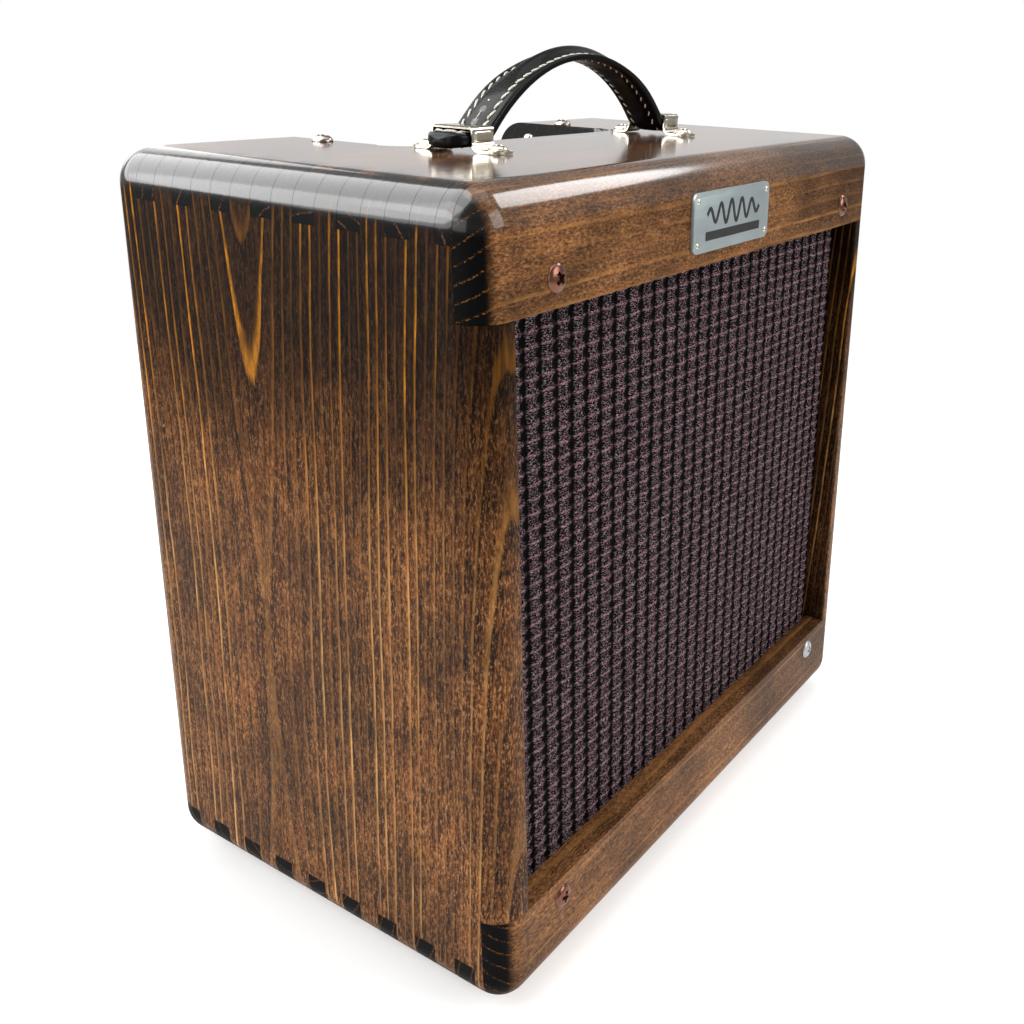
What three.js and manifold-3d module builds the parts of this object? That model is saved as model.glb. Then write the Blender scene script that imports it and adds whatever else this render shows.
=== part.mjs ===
// A small combo guitar amplifier: a finger-jointed pine cabinet whose front leans back a little,
// with one eight-inch speaker behind a cloth grille, a valve chassis hung under a notch in the top,
// and a leather strap handle. Millimetres, +Z up, front towards -Y, feet standing on z = 0.

import * as THREE from 'three';
import { mergeVertices } from 'three/addons/utils/BufferGeometryUtils.js';
import Module from 'manifold-3d';

const wasm = await Module();
wasm.setup();

// ---------------------------------------------------------------- driving dimensions

const GAP = 0.3;                  // clearance left between neighbouring pieces

const CABINET_WIDTH = 343;
const CABINET_HEIGHT = 317.5;
const CABINET_DEPTH = 199;        // at the bottom
const FRONT_LEAN = 19;            // how much further back the front face is at the top
const BOARD = 17.8;               // thickness of the four boards
const EDGE_RADIUS = 14;           // round-over of every outer edge
const FINGER_WIDTH = 10.3;
const TOP_FIRST_FINGER = 80.4;    // rear edge of the rearmost finger
const TOP_FINGERS = 8;
const BOTTOM_FIRST_FINGER = 91.5;
const BOTTOM_FINGERS = 9;
const FOOT_HEIGHT = 7;
const FOOT_RADIUS = 13;
const FOOT_X = 132;
const FOOT_FRONT_Y = -66;
const FOOT_REAR_Y = 72;

const RAIL_THICKNESS = 11;
const TOP_RAIL_BOTTOM = 275.8;
const BOTTOM_RAIL_TOP = 42.8;
const CLOTH_THICKNESS = 1.2;
const BAFFLE_THICKNESS = 12;
const BAFFLE_BOTTOM = 22;
const BAFFLE_TOP = 296.5;
const SPEAKER_HOLE_RADIUS = 92;
const SPEAKER_HEIGHT = 150;       // speaker's axis above the cabinet's underside
const FRONT_SCREW_X = 130.4;
const FRONT_SCREW_LOW = 33.7;
const FRONT_SCREW_HIGH = 285.8;
const BADGE_WIDTH = 70.5;
const BADGE_HEIGHT = 23.5;
const BADGE_THICKNESS = 1.5;
const BADGE_CENTRE_Z = 293.2;

const NOTCH_HALF_WIDTH = 84;      // control notch in the top board, open to the rear
const NOTCH_FRONT_Y = 25;
const NOTCH_RADIUS = 14;
const CHASSIS_SCREW_X = 90.5;
const CHASSIS_SCREW_Y = 63;

const BACK_THICKNESS = 9;
const BACK_FACE_Y = 97;           // outer face of the two back panels
const UPPER_BACK_BOTTOM = 222;
const LOWER_BACK_TOP = 100;
const BACK_SCREW_X = 145;
const CLEAT = 16;                 // square section of the strips behind the back panels

const CHASSIS_HALF_WIDTH = 100;
const CHASSIS_FRONT_Y = 30;
const CHASSIS_REAR_Y = 86;
const CHASSIS_HEIGHT = 52;
const SHEET = 1.5;                // thickness of the folded steel
const CONTROL_Y = 56;             // line of the controls and of the valve sockets
const JACK_XS = [-70, -48];
const VOLUME_X = -20;
const PILOT_X = 13;
const SWITCH_X = 45;
const FUSE_X = 70;
const SWITCH_THROW = 15;          // degrees from upright, either way
const RECTIFIER_X = -26;
const POWER_VALVE_X = 12;
const PREAMP_VALVE_X = 43;
const OCTAL_HOLE = 13.2;
const NOVAL_HOLE = 9.8;
const INLET_X = 118;
const INLET_Z = 262;

const HANDLE_CAP_X = 76.5;        // centre of each cap from the middle
const HANDLE_CAP_LENGTH = 13.8;
const HANDLE_SCREW_Y = 17.4;
const STRAP_WIDTH = 18;
const STRAP_THICKNESS = 5.5;
const TAB_THICKNESS = 6.4;        // the strap's flat ends are padded out
const CAP_PLATE = 1.4;            // thickness of the folded caps
const STRAP_TAB_HEIGHT = 4.7;     // centre of the flat ends above the top board
const STRAP_ARCH_HALF = 66.6;
const STRAP_ARCH_FOOT = 8.8;      // centre of the arch's ends above the top board
const STRAP_ARCH_CROWN = 36;      // centre of its middle above the top board
const TAB_INNER_X = 67.2;
const LEFT_TAB_OUTER_X = 92;
const RIGHT_TAB_OUTER_X = 86;

// ---------------------------------------------------------------- worked out from them

const HALF_WIDTH = CABINET_WIDTH / 2;
const HALF_DEPTH = CABINET_DEPTH / 2;
const SIDE_INNER = HALF_WIDTH - BOARD;
const LEAN = Math.atan(FRONT_LEAN / CABINET_HEIGHT);
const CEILING = CABINET_HEIGHT - BOARD;           // underside of the top board
const CHASSIS_TOP = CEILING - GAP;
const CHASSIS_BOTTOM = CHASSIS_TOP - CHASSIS_HEIGHT;
const BAFFLE_FRONT = RAIL_THICKNESS + CLOTH_THICKNESS + 2 * GAP;
const SPEAKER_PLANE = BAFFLE_FRONT + BAFFLE_THICKNESS + GAP;
const OVERSIZE = 5;                               // how far a cutting solid runs past its work

const AXIS_X = new THREE.Vector3(1, 0, 0);
const AXIS_Y = new THREE.Vector3(0, 1, 0);
const AXIS_Z = new THREE.Vector3(0, 0, 1);

// The leaning front's own frame: x across, y into the cabinet, z up along the front face.
const frontMatrix = new THREE.Matrix4().makeRotationX(-LEAN).setPosition(0, -HALF_DEPTH, 0);

// ---------------------------------------------------------------- solids

function signedVolume(position, index) {
  const [a, b, c] = [new THREE.Vector3(), new THREE.Vector3(), new THREE.Vector3()];
  let total = 0;
  for (let i = 0; i < index.count; i += 3) {
    a.fromBufferAttribute(position, index.getX(i));
    b.fromBufferAttribute(position, index.getX(i + 1));
    c.fromBufferAttribute(position, index.getX(i + 2));
    total += a.dot(b.cross(c)) / 6;
  }
  return total;
}

// A welded, outward-facing solid from any closed geometry.
function solidFrom(geometry) {
  const bare = geometry.clone();
  bare.deleteAttribute('normal');
  bare.deleteAttribute('uv');
  const welded = mergeVertices(bare, 1e-4);
  const triVerts = Uint32Array.from(welded.index.array);
  if (signedVolume(welded.attributes.position, welded.index) < 0) {
    for (let i = 0; i < triVerts.length; i += 3) {
      [triVerts[i], triVerts[i + 1]] = [triVerts[i + 1], triVerts[i]];
    }
  }
  const vertProperties = Float32Array.from(welded.attributes.position.array);
  return new wasm.Manifold(new wasm.Mesh({ numProp: 3, vertProperties, triVerts }));
}

function geometryFrom(solid) {
  const mesh = solid.getMesh();
  const geometry = new THREE.BufferGeometry();
  geometry.setAttribute('position', new THREE.BufferAttribute(Float32Array.from(mesh.vertProperties), 3));
  geometry.setIndex(new THREE.BufferAttribute(Uint32Array.from(mesh.triVerts), 1));
  geometry.computeVertexNormals();
  return geometry;
}

function box([x0, x1], [y0, y1], [z0, z1]) {
  const geometry = new THREE.BoxGeometry(x1 - x0, y1 - y0, z1 - z0);
  geometry.translate((x0 + x1) / 2, (y0 + y1) / 2, (z0 + z1) / 2);
  return solidFrom(geometry);
}

// A round rod from one point to another along a row axis.
function rod(radius, axis, from, length, segments = 16) {
  const geometry = new THREE.CylinderGeometry(radius, radius, length, segments);
  geometry.translate(0, length / 2, 0);
  geometry.applyQuaternion(new THREE.Quaternion().setFromUnitVectors(AXIS_Y, axis));
  geometry.translate(...from);
  return solidFrom(geometry);
}

// A profile of [radius, height] points turned about +Z.
function turned(profile, segments = 24) {
  const points = profile.map(([radius, height]) => new THREE.Vector2(radius, height));
  const first = profile[0];
  const last = profile[profile.length - 1];
  if (first[0] > 0 && last[0] > 0) {
    points.push(new THREE.Vector2(...first));
  }
  const geometry = new THREE.LatheGeometry(points, segments);
  geometry.rotateX(Math.PI / 2);
  return solidFrom(geometry);
}

// A polygon of [x, y] corners, counter-clockwise and convex, with each corner rounded.
function roundedShape(corners, radius) {
  const shape = new THREE.Shape();
  const count = corners.length;
  const outward = (from, to) => new THREE.Vector2(to[1] - from[1], from[0] - to[0]).normalize();
  corners.forEach((corner, i) => {
    const before = outward(corners[(i + count - 1) % count], corner);
    const after = outward(corner, corners[(i + 1) % count]);
    const reach = radius / (1 + before.dot(after));
    const centreX = corner[0] - (before.x + after.x) * reach;
    const centreY = corner[1] - (before.y + after.y) * reach;
    shape.absarc(centreX, centreY, radius, before.angle(), after.angle(), false);
  });
  return shape;
}

function rectangle(halfWidth, halfHeight, centreX = 0, centreY = 0) {
  return [
    [centreX - halfWidth, centreY - halfHeight],
    [centreX + halfWidth, centreY - halfHeight],
    [centreX + halfWidth, centreY + halfHeight],
    [centreX - halfWidth, centreY + halfHeight],
  ];
}

function polygonShape(corners) {
  return new THREE.Shape(corners.map(([x, y]) => new THREE.Vector2(x, y)));
}

function roundHole(x, y, radius) {
  return new THREE.Path().absarc(x, y, radius, 0, Math.PI * 2, true);
}

// A shape drawn in (y, z), extruded along +X from x = start.
function extrudedX(shape, start, options) {
  const settings = { bevelEnabled: false, curveSegments: 3, ...options };
  const geometry = new THREE.ExtrudeGeometry(shape, settings);
  geometry.applyMatrix4(new THREE.Matrix4().makeBasis(AXIS_Y, AXIS_Z, AXIS_X));
  geometry.translate(start, 0, 0);
  return solidFrom(geometry);
}

// A shape drawn in (x, z), extruded from y = start to y = start + depth.
function extrudedY(shape, start, depth, curveSegments = 3) {
  const geometry = new THREE.ExtrudeGeometry(shape, { depth, bevelEnabled: false, curveSegments });
  geometry.applyMatrix4(new THREE.Matrix4().makeBasis(AXIS_X, AXIS_Z, AXIS_Y.clone().negate()));
  geometry.translate(0, start + depth, 0);
  return solidFrom(geometry);
}

// A shape drawn in (x, y), extruded upwards from z = start.
function extrudedZ(shape, start, depth, curveSegments = 4) {
  const geometry = new THREE.ExtrudeGeometry(shape, { depth, bevelEnabled: false, curveSegments });
  geometry.translate(0, 0, start);
  return solidFrom(geometry);
}

// ---------------------------------------------------------------- materials

const finish = (color, roughness, metalness) => ({ color, roughness, metalness });
const STAINED_PINE = finish(0x4a2c18, 0.35, 0);
const PLYWOOD = finish(0x8a6a44, 0.7, 0);
const CLOTH = finish(0x2b2024, 0.9, 0);
const BRONZE = finish(0x7c4a33, 0.35, 1);
const NICKEL = finish(0xc9c6bd, 0.2, 1);
const STEEL = finish(0xa9adb0, 0.35, 1);
const SATIN_PLATE = finish(0xa3abb3, 0.4, 1);
const BLACK_LEATHER = finish(0x14161a, 0.45, 0);
const BLACK_PLASTIC = finish(0x151515, 0.4, 0);
const RUBBER = finish(0x1a1a1a, 0.9, 0);
const GLASS = finish(0xcfd8dc, 0.05, 0);
const RED_GLASS = finish(0xb01818, 0.1, 0);
const PAPER = finish(0x1d1b1a, 0.9, 0);
const BLACK_PAINT = finish(0x18191b, 0.5, 0.3);
const BOARD_FIBRE = finish(0x2a2622, 0.8, 0);

function mesh(name, solid, material, position = [0, 0, 0]) {
  const piece = new THREE.Mesh(geometryFrom(solid), new THREE.MeshStandardMaterial(material));
  piece.name = name;
  piece.position.set(...position);
  return piece;
}

// ---------------------------------------------------------------- cabinet boards

const frontY = (z) => -HALF_DEPTH + (FRONT_LEAN * z) / CABINET_HEIGHT;

// The cabinet's outer form with all its edges rounded over.
function cabinetEnvelope() {
  const corners = [
    [frontY(0), 0],
    [HALF_DEPTH, 0],
    [HALF_DEPTH, CABINET_HEIGHT],
    [frontY(CABINET_HEIGHT), CABINET_HEIGHT],
  ];
  const round = EDGE_RADIUS - 0.2;
  return extrudedX(roundedShape(corners, EDGE_RADIUS), -HALF_WIDTH + round, {
    depth: CABINET_WIDTH - 2 * round,
    bevelEnabled: true,
    bevelThickness: round,
    bevelSize: round,
    bevelOffset: -round,
    bevelSegments: 4,
  });
}

// The slab between two depths behind the leaning front, over a range of heights.
function frontSlab(shallow, deep, [z0, z1]) {
  const behind = (z, depth) => frontY(z) + depth / Math.cos(LEAN);
  const corners = [
    [behind(z0, shallow), z0],
    [behind(z0, deep), z0],
    [behind(z1, deep), z1],
    [behind(z1, shallow), z1],
  ];
  const width = CABINET_WIDTH + 2 * OVERSIZE;
  return extrudedX(polygonShape(corners), -width / 2, { depth: width });
}

// One row of finger boxes along a corner joint, each grown by the given margin.
function fingerRow(firstRear, count, [z0, z1], side, margin) {
  const across = side < 0
    ? [-HALF_WIDTH - OVERSIZE, -SIDE_INNER + BOARD / 2]
    : [SIDE_INNER - BOARD / 2, HALF_WIDTH + OVERSIZE];
  const fingers = [];
  for (let i = 0; i < count; i += 1) {
    const rear = firstRear - 2 * FINGER_WIDTH * i;
    fingers.push(box(across, [rear - FINGER_WIDTH - margin, rear + margin], [z0, z1]));
  }
  return fingers.reduce((whole, finger) => whole.add(finger));
}

const envelope = cabinetEnvelope();
const upperRange = [TOP_RAIL_BOTTOM, CABINET_HEIGHT + OVERSIZE];
const lowerRange = [-OVERSIZE, BOTTOM_RAIL_TOP];
const railRecess = frontSlab(-OVERSIZE, RAIL_THICKNESS + GAP, [upperRange[0] - GAP, upperRange[1]])
  .add(frontSlab(-OVERSIZE, RAIL_THICKNESS + GAP, [lowerRange[0], lowerRange[1] + GAP]));

function sideBoard(side) {
  const across = side < 0 ? [-HALF_WIDTH - OVERSIZE, -SIDE_INNER] : [SIDE_INNER, HALF_WIDTH + OVERSIZE];
  const depth = [-HALF_DEPTH - OVERSIZE, HALF_DEPTH + OVERSIZE];
  const upright = [-OVERSIZE, CABINET_HEIGHT + OVERSIZE];
  const above = [CEILING - GAP, upright[1]];
  const below = [upright[0], BOARD + GAP];
  const topSockets = fingerRow(TOP_FIRST_FINGER, TOP_FINGERS, above, side, GAP / 2);
  const bottomSockets = fingerRow(BOTTOM_FIRST_FINGER, BOTTOM_FINGERS, below, side, GAP / 2);
  return box(across, depth, upright)
    .intersect(envelope)
    .subtract(railRecess)
    .subtract(topSockets)
    .subtract(bottomSockets);
}

function levelBoard([z0, z1], firstFinger, count) {
  const across = [-SIDE_INNER + GAP, SIDE_INNER - GAP];
  const depth = [-HALF_DEPTH - OVERSIZE, HALF_DEPTH + OVERSIZE];
  return box(across, depth, [z0, z1])
    .add(fingerRow(firstFinger, count, [z0, z1], -1, -GAP / 2))
    .add(fingerRow(firstFinger, count, [z0, z1], 1, -GAP / 2))
    .intersect(envelope)
    .subtract(railRecess);
}

function controlNotch() {
  const rear = HALF_DEPTH + NOTCH_RADIUS + OVERSIZE;
  const corners = [
    [-NOTCH_HALF_WIDTH, NOTCH_FRONT_Y],
    [NOTCH_HALF_WIDTH, NOTCH_FRONT_Y],
    [NOTCH_HALF_WIDTH, rear],
    [-NOTCH_HALF_WIDTH, rear],
  ];
  return extrudedZ(roundedShape(corners, NOTCH_RADIUS), CEILING - OVERSIZE, BOARD + 2 * OVERSIZE);
}

const SCREW_SHANK = 1.9;
const SCREW_HOLE = 2.3;
const chassisScrewPlaces = [-1, 1].map((side) => [side * CHASSIS_SCREW_X, CHASSIS_SCREW_Y]);
const handleScrewPlaces = [-1, 1].flatMap((side) => [
  [side * HANDLE_CAP_X, -HANDLE_SCREW_Y],
  [side * HANDLE_CAP_X, HANDLE_SCREW_Y],
]);

function topBoard() {
  const holes = [...chassisScrewPlaces, ...handleScrewPlaces]
    .map(([x, y]) => rod(SCREW_HOLE, AXIS_Z, [x, y, CEILING - OVERSIZE], BOARD + 2 * OVERSIZE, 12));
  const plain = levelBoard([CEILING, CABINET_HEIGHT + OVERSIZE], TOP_FIRST_FINGER, TOP_FINGERS);
  return holes.reduce((board, hole) => board.subtract(hole), plain.subtract(controlNotch()));
}

function frontHole(x, height) {
  const geometry = new THREE.CylinderGeometry(SCREW_HOLE, SCREW_HOLE, 4 * RAIL_THICKNESS, 12);
  geometry.translate(x, 0, height / Math.cos(LEAN));
  geometry.applyMatrix4(frontMatrix);
  return solidFrom(geometry);
}

function rail(range, screwHeight) {
  return frontSlab(-OVERSIZE, RAIL_THICKNESS, range)
    .intersect(envelope)
    .subtract(frontHole(-FRONT_SCREW_X, screwHeight))
    .subtract(frontHole(FRONT_SCREW_X, screwHeight));
}

const cabinet = new THREE.Group();
cabinet.position.z = FOOT_HEIGHT;
cabinet.add(
  mesh('left_side', sideBoard(-1), STAINED_PINE),
  mesh('right_side', sideBoard(1), STAINED_PINE),
  mesh('top_board', topBoard(), STAINED_PINE),
  mesh('bottom_board', levelBoard([-OVERSIZE, BOARD], BOTTOM_FIRST_FINGER, BOTTOM_FINGERS), STAINED_PINE),
  mesh('front_top_rail', rail(upperRange, FRONT_SCREW_HIGH), STAINED_PINE),
  mesh('front_bottom_rail', rail(lowerRange, FRONT_SCREW_LOW), STAINED_PINE),
);

// ---------------------------------------------------------------- screws

// A round-headed screw pointing down from its seat at z = 0.
function screw(headRadius, headHeight, length) {
  return turned([
    [0, -length],
    [SCREW_SHANK * 0.6, -length],
    [SCREW_SHANK, -length + 3],
    [SCREW_SHANK, GAP],
    [headRadius, GAP],
    [headRadius * 0.94, GAP + headHeight * 0.5],
    [headRadius * 0.6, GAP + headHeight * 0.9],
    [0, GAP + headHeight],
  ], 12);
}

chassisScrewPlaces.forEach(([x, y], i) => {
  const name = `chassis_screw_${['left', 'right'][i]}`;
  cabinet.add(mesh(name, screw(4.6, 2.6, BOARD + 12), NICKEL, [x, y, CABINET_HEIGHT]));
});

// ---------------------------------------------------------------- baffle, grille cloth and badge

const front = new THREE.Group();
front.position.set(0, -HALF_DEPTH, 0);
front.rotation.x = -LEAN;
cabinet.add(front);

const frontScrewPlaces = [
  ['top_left', -FRONT_SCREW_X, FRONT_SCREW_HIGH / Math.cos(LEAN)],
  ['top_right', FRONT_SCREW_X, FRONT_SCREW_HIGH / Math.cos(LEAN)],
  ['bottom_left', -FRONT_SCREW_X, FRONT_SCREW_LOW / Math.cos(LEAN)],
  ['bottom_right', FRONT_SCREW_X, FRONT_SCREW_LOW / Math.cos(LEAN)],
];

function insetPanel(extraHoles) {
  const halfWidth = SIDE_INNER - 0.8;
  const shape = polygonShape([
    [-halfWidth, BAFFLE_BOTTOM],
    [halfWidth, BAFFLE_BOTTOM],
    [halfWidth, BAFFLE_TOP],
    [-halfWidth, BAFFLE_TOP],
  ]);
  frontScrewPlaces.forEach(([, x, z]) => shape.holes.push(roundHole(x, z, SCREW_HOLE)));
  shape.holes.push(...extraHoles);
  return shape;
}

const BAFFLE_FACETS = 12;
const speakerHole = roundHole(0, SPEAKER_HEIGHT, SPEAKER_HOLE_RADIUS);
const baffle = extrudedY(insetPanel([speakerHole]), BAFFLE_FRONT, BAFFLE_THICKNESS, BAFFLE_FACETS);
const cloth = extrudedY(insetPanel([]), RAIL_THICKNESS + GAP, CLOTH_THICKNESS, 4);
const badgeShape = roundedShape(rectangle(BADGE_WIDTH / 2, BADGE_HEIGHT / 2), 3);
const badge = extrudedY(badgeShape, -BADGE_THICKNESS - GAP, BADGE_THICKNESS);
front.add(
  mesh('baffle_board', baffle, PLYWOOD),
  mesh('grille_cloth', cloth, CLOTH),
  mesh('badge_plate', badge, SATIN_PLATE, [0, 0, BADGE_CENTRE_Z / Math.cos(LEAN)]),
);

frontScrewPlaces.forEach(([place, x, z]) => {
  const piece = mesh(`front_screw_${place}`, screw(5.2, 1.7, 21), BRONZE, [x, 0, z]);
  piece.rotation.x = Math.PI / 2;
  front.add(piece);
});

// ---------------------------------------------------------------- speaker

const speaker = new THREE.Group();
speaker.position.set(0, SPEAKER_PLANE, SPEAKER_HEIGHT);
speaker.rotation.x = -Math.PI / 2;
front.add(speaker);

const BASKET_DEPTH = 60;
const WINDOWS = 4;
const SPEAKER_FACETS = 32;

// The pressed basket: rim, sloping wall with four windows, and back plate with the coil's hole.
function speakerBasket() {
  const shell = turned([
    [103, 0],
    [103, 1.6],
    [92, 1.6],
    [90, 15],
    [46, BASKET_DEPTH - 2],
    [46, BASKET_DEPTH],
    [22, BASKET_DEPTH],
    [22, BASKET_DEPTH - 1.6],
    [44.6, BASKET_DEPTH - 1.6],
    [88.4, 14.4],
    [90.2, 0],
  ], SPEAKER_FACETS);
  const spread = THREE.MathUtils.degToRad(32);
  const sector = new THREE.Shape();
  sector.absarc(0, 0, 80, -spread, spread, false);
  sector.absarc(0, 0, 50, spread, -spread, true);
  const cutters = Array.from({ length: WINDOWS }, (_, i) => {
    const options = { depth: BASKET_DEPTH, bevelEnabled: false, curveSegments: 3 };
    const geometry = new THREE.ExtrudeGeometry(sector, options);
    geometry.rotateZ(((i + 0.5) * 2 * Math.PI) / WINDOWS);
    geometry.translate(0, 0, 8);
    return solidFrom(geometry);
  });
  return cutters.reduce((basket, cutter) => basket.subtract(cutter), shell);
}

function speakerMagnet() {
  const start = BASKET_DEPTH + GAP;
  return turned([
    [0, start],
    [18.2, start],
    [18.2, 78],
    [21, 78],
    [21, start],
    [38, start],
    [38, 66],
    [44, 66],
    [44, 79],
    [38, 79],
    [38, 85],
    [0, 85],
  ], SPEAKER_FACETS);
}

// Paper cone in one piece with its voice-coil former.
function speakerCone() {
  return turned([
    [84, 0.4],
    [84, 1.4],
    [20, 34.5],
    [20, 68],
    [19.2, 68],
    [19.2, 33.3],
  ], SPEAKER_FACETS);
}

function dustCap() {
  const rim = 24;
  const steps = 4;
  const dome = (radius, level) => [radius, level + 9 * (radius / rim) ** 2];
  const shares = Array.from({ length: steps + 1 }, (_, i) => i / steps);
  const outer = shares.map((share) => dome(rim * share, 20.4));
  const inner = shares.map((share) => dome((rim - 1) * (1 - share), 21.3));
  return turned([...outer, ...inner], 20);
}

// Half-round roll between the cone's edge and the basket's rim.
function speakerSurround() {
  const [inner, outer, steps] = [84.3, 89.8, 4];
  const middle = (inner + outer) / 2;
  const arc = (radius) => Array.from({ length: steps + 1 }, (_, i) => {
    const angle = (Math.PI * i) / steps;
    return [middle - radius * Math.cos(angle), 1 - radius * Math.sin(angle)];
  });
  const halfSpan = (outer - inner) / 2;
  return turned([...arc(halfSpan), ...arc(halfSpan - 0.7).reverse()], SPEAKER_FACETS);
}

speaker.add(
  mesh('speaker_basket', speakerBasket(), BLACK_PAINT),
  mesh('speaker_magnet', speakerMagnet(), STEEL),
  mesh('speaker_cone', speakerCone(), PAPER),
  mesh('speaker_dust_cap', dustCap(), PAPER),
  mesh('speaker_surround', speakerSurround(), RUBBER),
);

// ---------------------------------------------------------------- back panels, cleats and feet

const backFront = BACK_FACE_Y - BACK_THICKNESS;
const INLET_CUTOUT = [10.4, 13.9];
const UPPER_SCREW_Z = [236];
const LOWER_SCREW_Z = [86];

function backPanel([z0, z1], screwHeights, cutouts) {
  const halfWidth = SIDE_INNER - 0.7;
  const shape = polygonShape(rectangle(halfWidth, (z1 - z0) / 2, 0, (z0 + z1) / 2));
  [-1, 1].forEach((side) => {
    screwHeights.forEach((z) => shape.holes.push(roundHole(side * BACK_SCREW_X, z, SCREW_HOLE)));
  });
  shape.holes.push(...cutouts);
  return extrudedY(shape, backFront, BACK_THICKNESS);
}

function cleat(side) {
  const outer = SIDE_INNER - GAP;
  const centre = side * (outer - CLEAT / 2);
  const strip = box(
    [centre - CLEAT / 2, centre + CLEAT / 2],
    [backFront - GAP - CLEAT, backFront - GAP],
    [BOARD + GAP, CEILING - GAP],
  );
  const hole = (z) => rod(SCREW_HOLE, AXIS_Y, [side * BACK_SCREW_X, backFront - 12, z], 20, 12);
  return [...UPPER_SCREW_Z, ...LOWER_SCREW_Z].reduce((piece, z) => piece.subtract(hole(z)), strip);
}

const inletHole = polygonShape(rectangle(...INLET_CUTOUT, INLET_X, INLET_Z).reverse());
const upperBack = backPanel([UPPER_BACK_BOTTOM, CEILING - GAP], UPPER_SCREW_Z, [inletHole]);
const lowerBack = backPanel([BOARD + GAP, LOWER_BACK_TOP], LOWER_SCREW_Z, []);
cabinet.add(
  mesh('upper_back_panel', upperBack, STAINED_PINE),
  mesh('lower_back_panel', lowerBack, STAINED_PINE),
  mesh('left_cleat', cleat(-1), PLYWOOD),
  mesh('right_cleat', cleat(1), PLYWOOD),
);

[['upper', UPPER_SCREW_Z], ['lower', LOWER_SCREW_Z]].forEach(([level, heights]) => {
  [-1, 1].forEach((side) => {
    const name = `${level}_back_screw_${side < 0 ? 'left' : 'right'}`;
    const piece = mesh(name, screw(4.2, 1.9, 17), NICKEL, [side * BACK_SCREW_X, BACK_FACE_Y, heights[0]]);
    piece.rotation.x = -Math.PI / 2;
    cabinet.add(piece);
  });
});

const foot = turned([
  [0, 0],
  [FOOT_RADIUS - 1.5, 0],
  [FOOT_RADIUS, 1.5],
  [FOOT_RADIUS, 5],
  [FOOT_RADIUS - 1, FOOT_HEIGHT - GAP],
  [0, FOOT_HEIGHT - GAP],
], 20);
[['front', FOOT_FRONT_Y], ['rear', FOOT_REAR_Y]].forEach(([end, y]) => {
  [['left', -FOOT_X], ['right', FOOT_X]].forEach(([side, x]) => {
    cabinet.add(mesh(`foot_${end}_${side}`, foot, RUBBER, [x, y, -FOOT_HEIGHT]));
  });
});

// ---------------------------------------------------------------- chassis and its controls

const BUSHING_HOLE = 4.9;
const JACK_HOLE = 4.9;
const SWITCH_HOLE = 6;
const LAMP_HOLE = 6;
const FUSE_HOLE = 6.3;

function chassisTray() {
  const across = [-CHASSIS_HALF_WIDTH, CHASSIS_HALF_WIDTH];
  const outer = box(across, [CHASSIS_FRONT_Y, CHASSIS_REAR_Y], [CHASSIS_BOTTOM, CHASSIS_TOP]);
  const inner = box(
    [across[0] + SHEET, across[1] - SHEET],
    [CHASSIS_FRONT_Y + SHEET, CHASSIS_REAR_Y + OVERSIZE],
    [CHASSIS_BOTTOM + SHEET, CHASSIS_TOP - SHEET],
  );
  const above = [
    [VOLUME_X, CONTROL_Y, BUSHING_HOLE],
    [SWITCH_X, CONTROL_Y, SWITCH_HOLE],
    [PILOT_X, CONTROL_Y, LAMP_HOLE],
    [FUSE_X, CONTROL_Y, FUSE_HOLE],
    ...JACK_XS.map((x) => [x, CONTROL_Y, JACK_HOLE]),
    ...chassisScrewPlaces.map(([x, y]) => [x, y, SCREW_HOLE]),
  ];
  const below = [
    [RECTIFIER_X, CONTROL_Y, OCTAL_HOLE],
    [POWER_VALVE_X, CONTROL_Y, OCTAL_HOLE],
    [PREAMP_VALVE_X, CONTROL_Y, NOVAL_HOLE],
  ];
  const drill = (level) => ([x, y, radius]) => rod(radius, AXIS_Z, [x, y, level - SHEET], 3 * SHEET);
  const holes = [...above.map(drill(CHASSIS_TOP - SHEET)), ...below.map(drill(CHASSIS_BOTTOM))];
  return holes.reduce((tray, hole) => tray.subtract(hole), outer.subtract(inner));
}

// Everything below is drawn with the chassis's top face at z = 0; the sheet lies just under it.
const UNDER_SHEET = -SHEET - GAP;

const volumePot = turned([
  [0, -17],
  [12, -17],
  [12, UNDER_SHEET - 2],
  [9, UNDER_SHEET],
  [4.6, UNDER_SHEET],
  [4.6, GAP],
  [7, GAP],
  [7, 2.6],
  [4.4, 2.6],
  [4.4, 4.2],
  [3.3, 4.2],
  [3.3, -9],
  [0, -9],
], 18);

// Fluted-skirt knob in one piece with its shaft, hollow underneath to clear the nut.
function volumeKnob() {
  const body = turned([
    [0, -8],
    [3, -8],
    [3, 5],
    [8.2, 5],
    [8.2, 1.2],
    [10, 1.2],
    [10, 3.2],
    [8.6, 4.2],
    [7.8, 12.4],
    [7, 13.2],
    [0, 13.2],
  ]);
  return body.add(box([-0.7, 0.7], [2, 7.4], [12.6, 13.7]));
}

function toggleBody() {
  const casing = box([-6.2, 6.2], [-6.5, 6.5], [-18, UNDER_SHEET]);
  const bushing = turned([
    [0, -8],
    [5.6, -8],
    [5.6, GAP],
    [8, GAP],
    [8, 2.4],
    [5.4, 2.4],
    [5.4, 8],
    [0, 8],
  ], 18);
  const bore = turned([[0, 0.4], [3.4, 0.4], [4.2, 10], [0, 10]], 16);
  return casing.add(bushing).subtract(bore);
}

// Bat-shaped lever, drawn upright with its pivot at the origin.
const toggleLever = turned([
  [0, -2.2],
  [1.6, -1.6],
  [2.2, 0],
  [1.6, 1.8],
  [1.5, 4],
  [2.3, 10],
  [2.1, 12],
  [1.2, 12.9],
  [0, 13],
], 12);
const TOGGLE_PIVOT = 3.4;

const pilotLamp = turned([
  [0, -26],
  [5.4, -26],
  [5.4, GAP],
  [8, GAP],
  [8, 2.4],
  [6.6, 3],
  [6.4, 6],
  [4.4, 9],
  [0, 10],
], 18);

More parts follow.
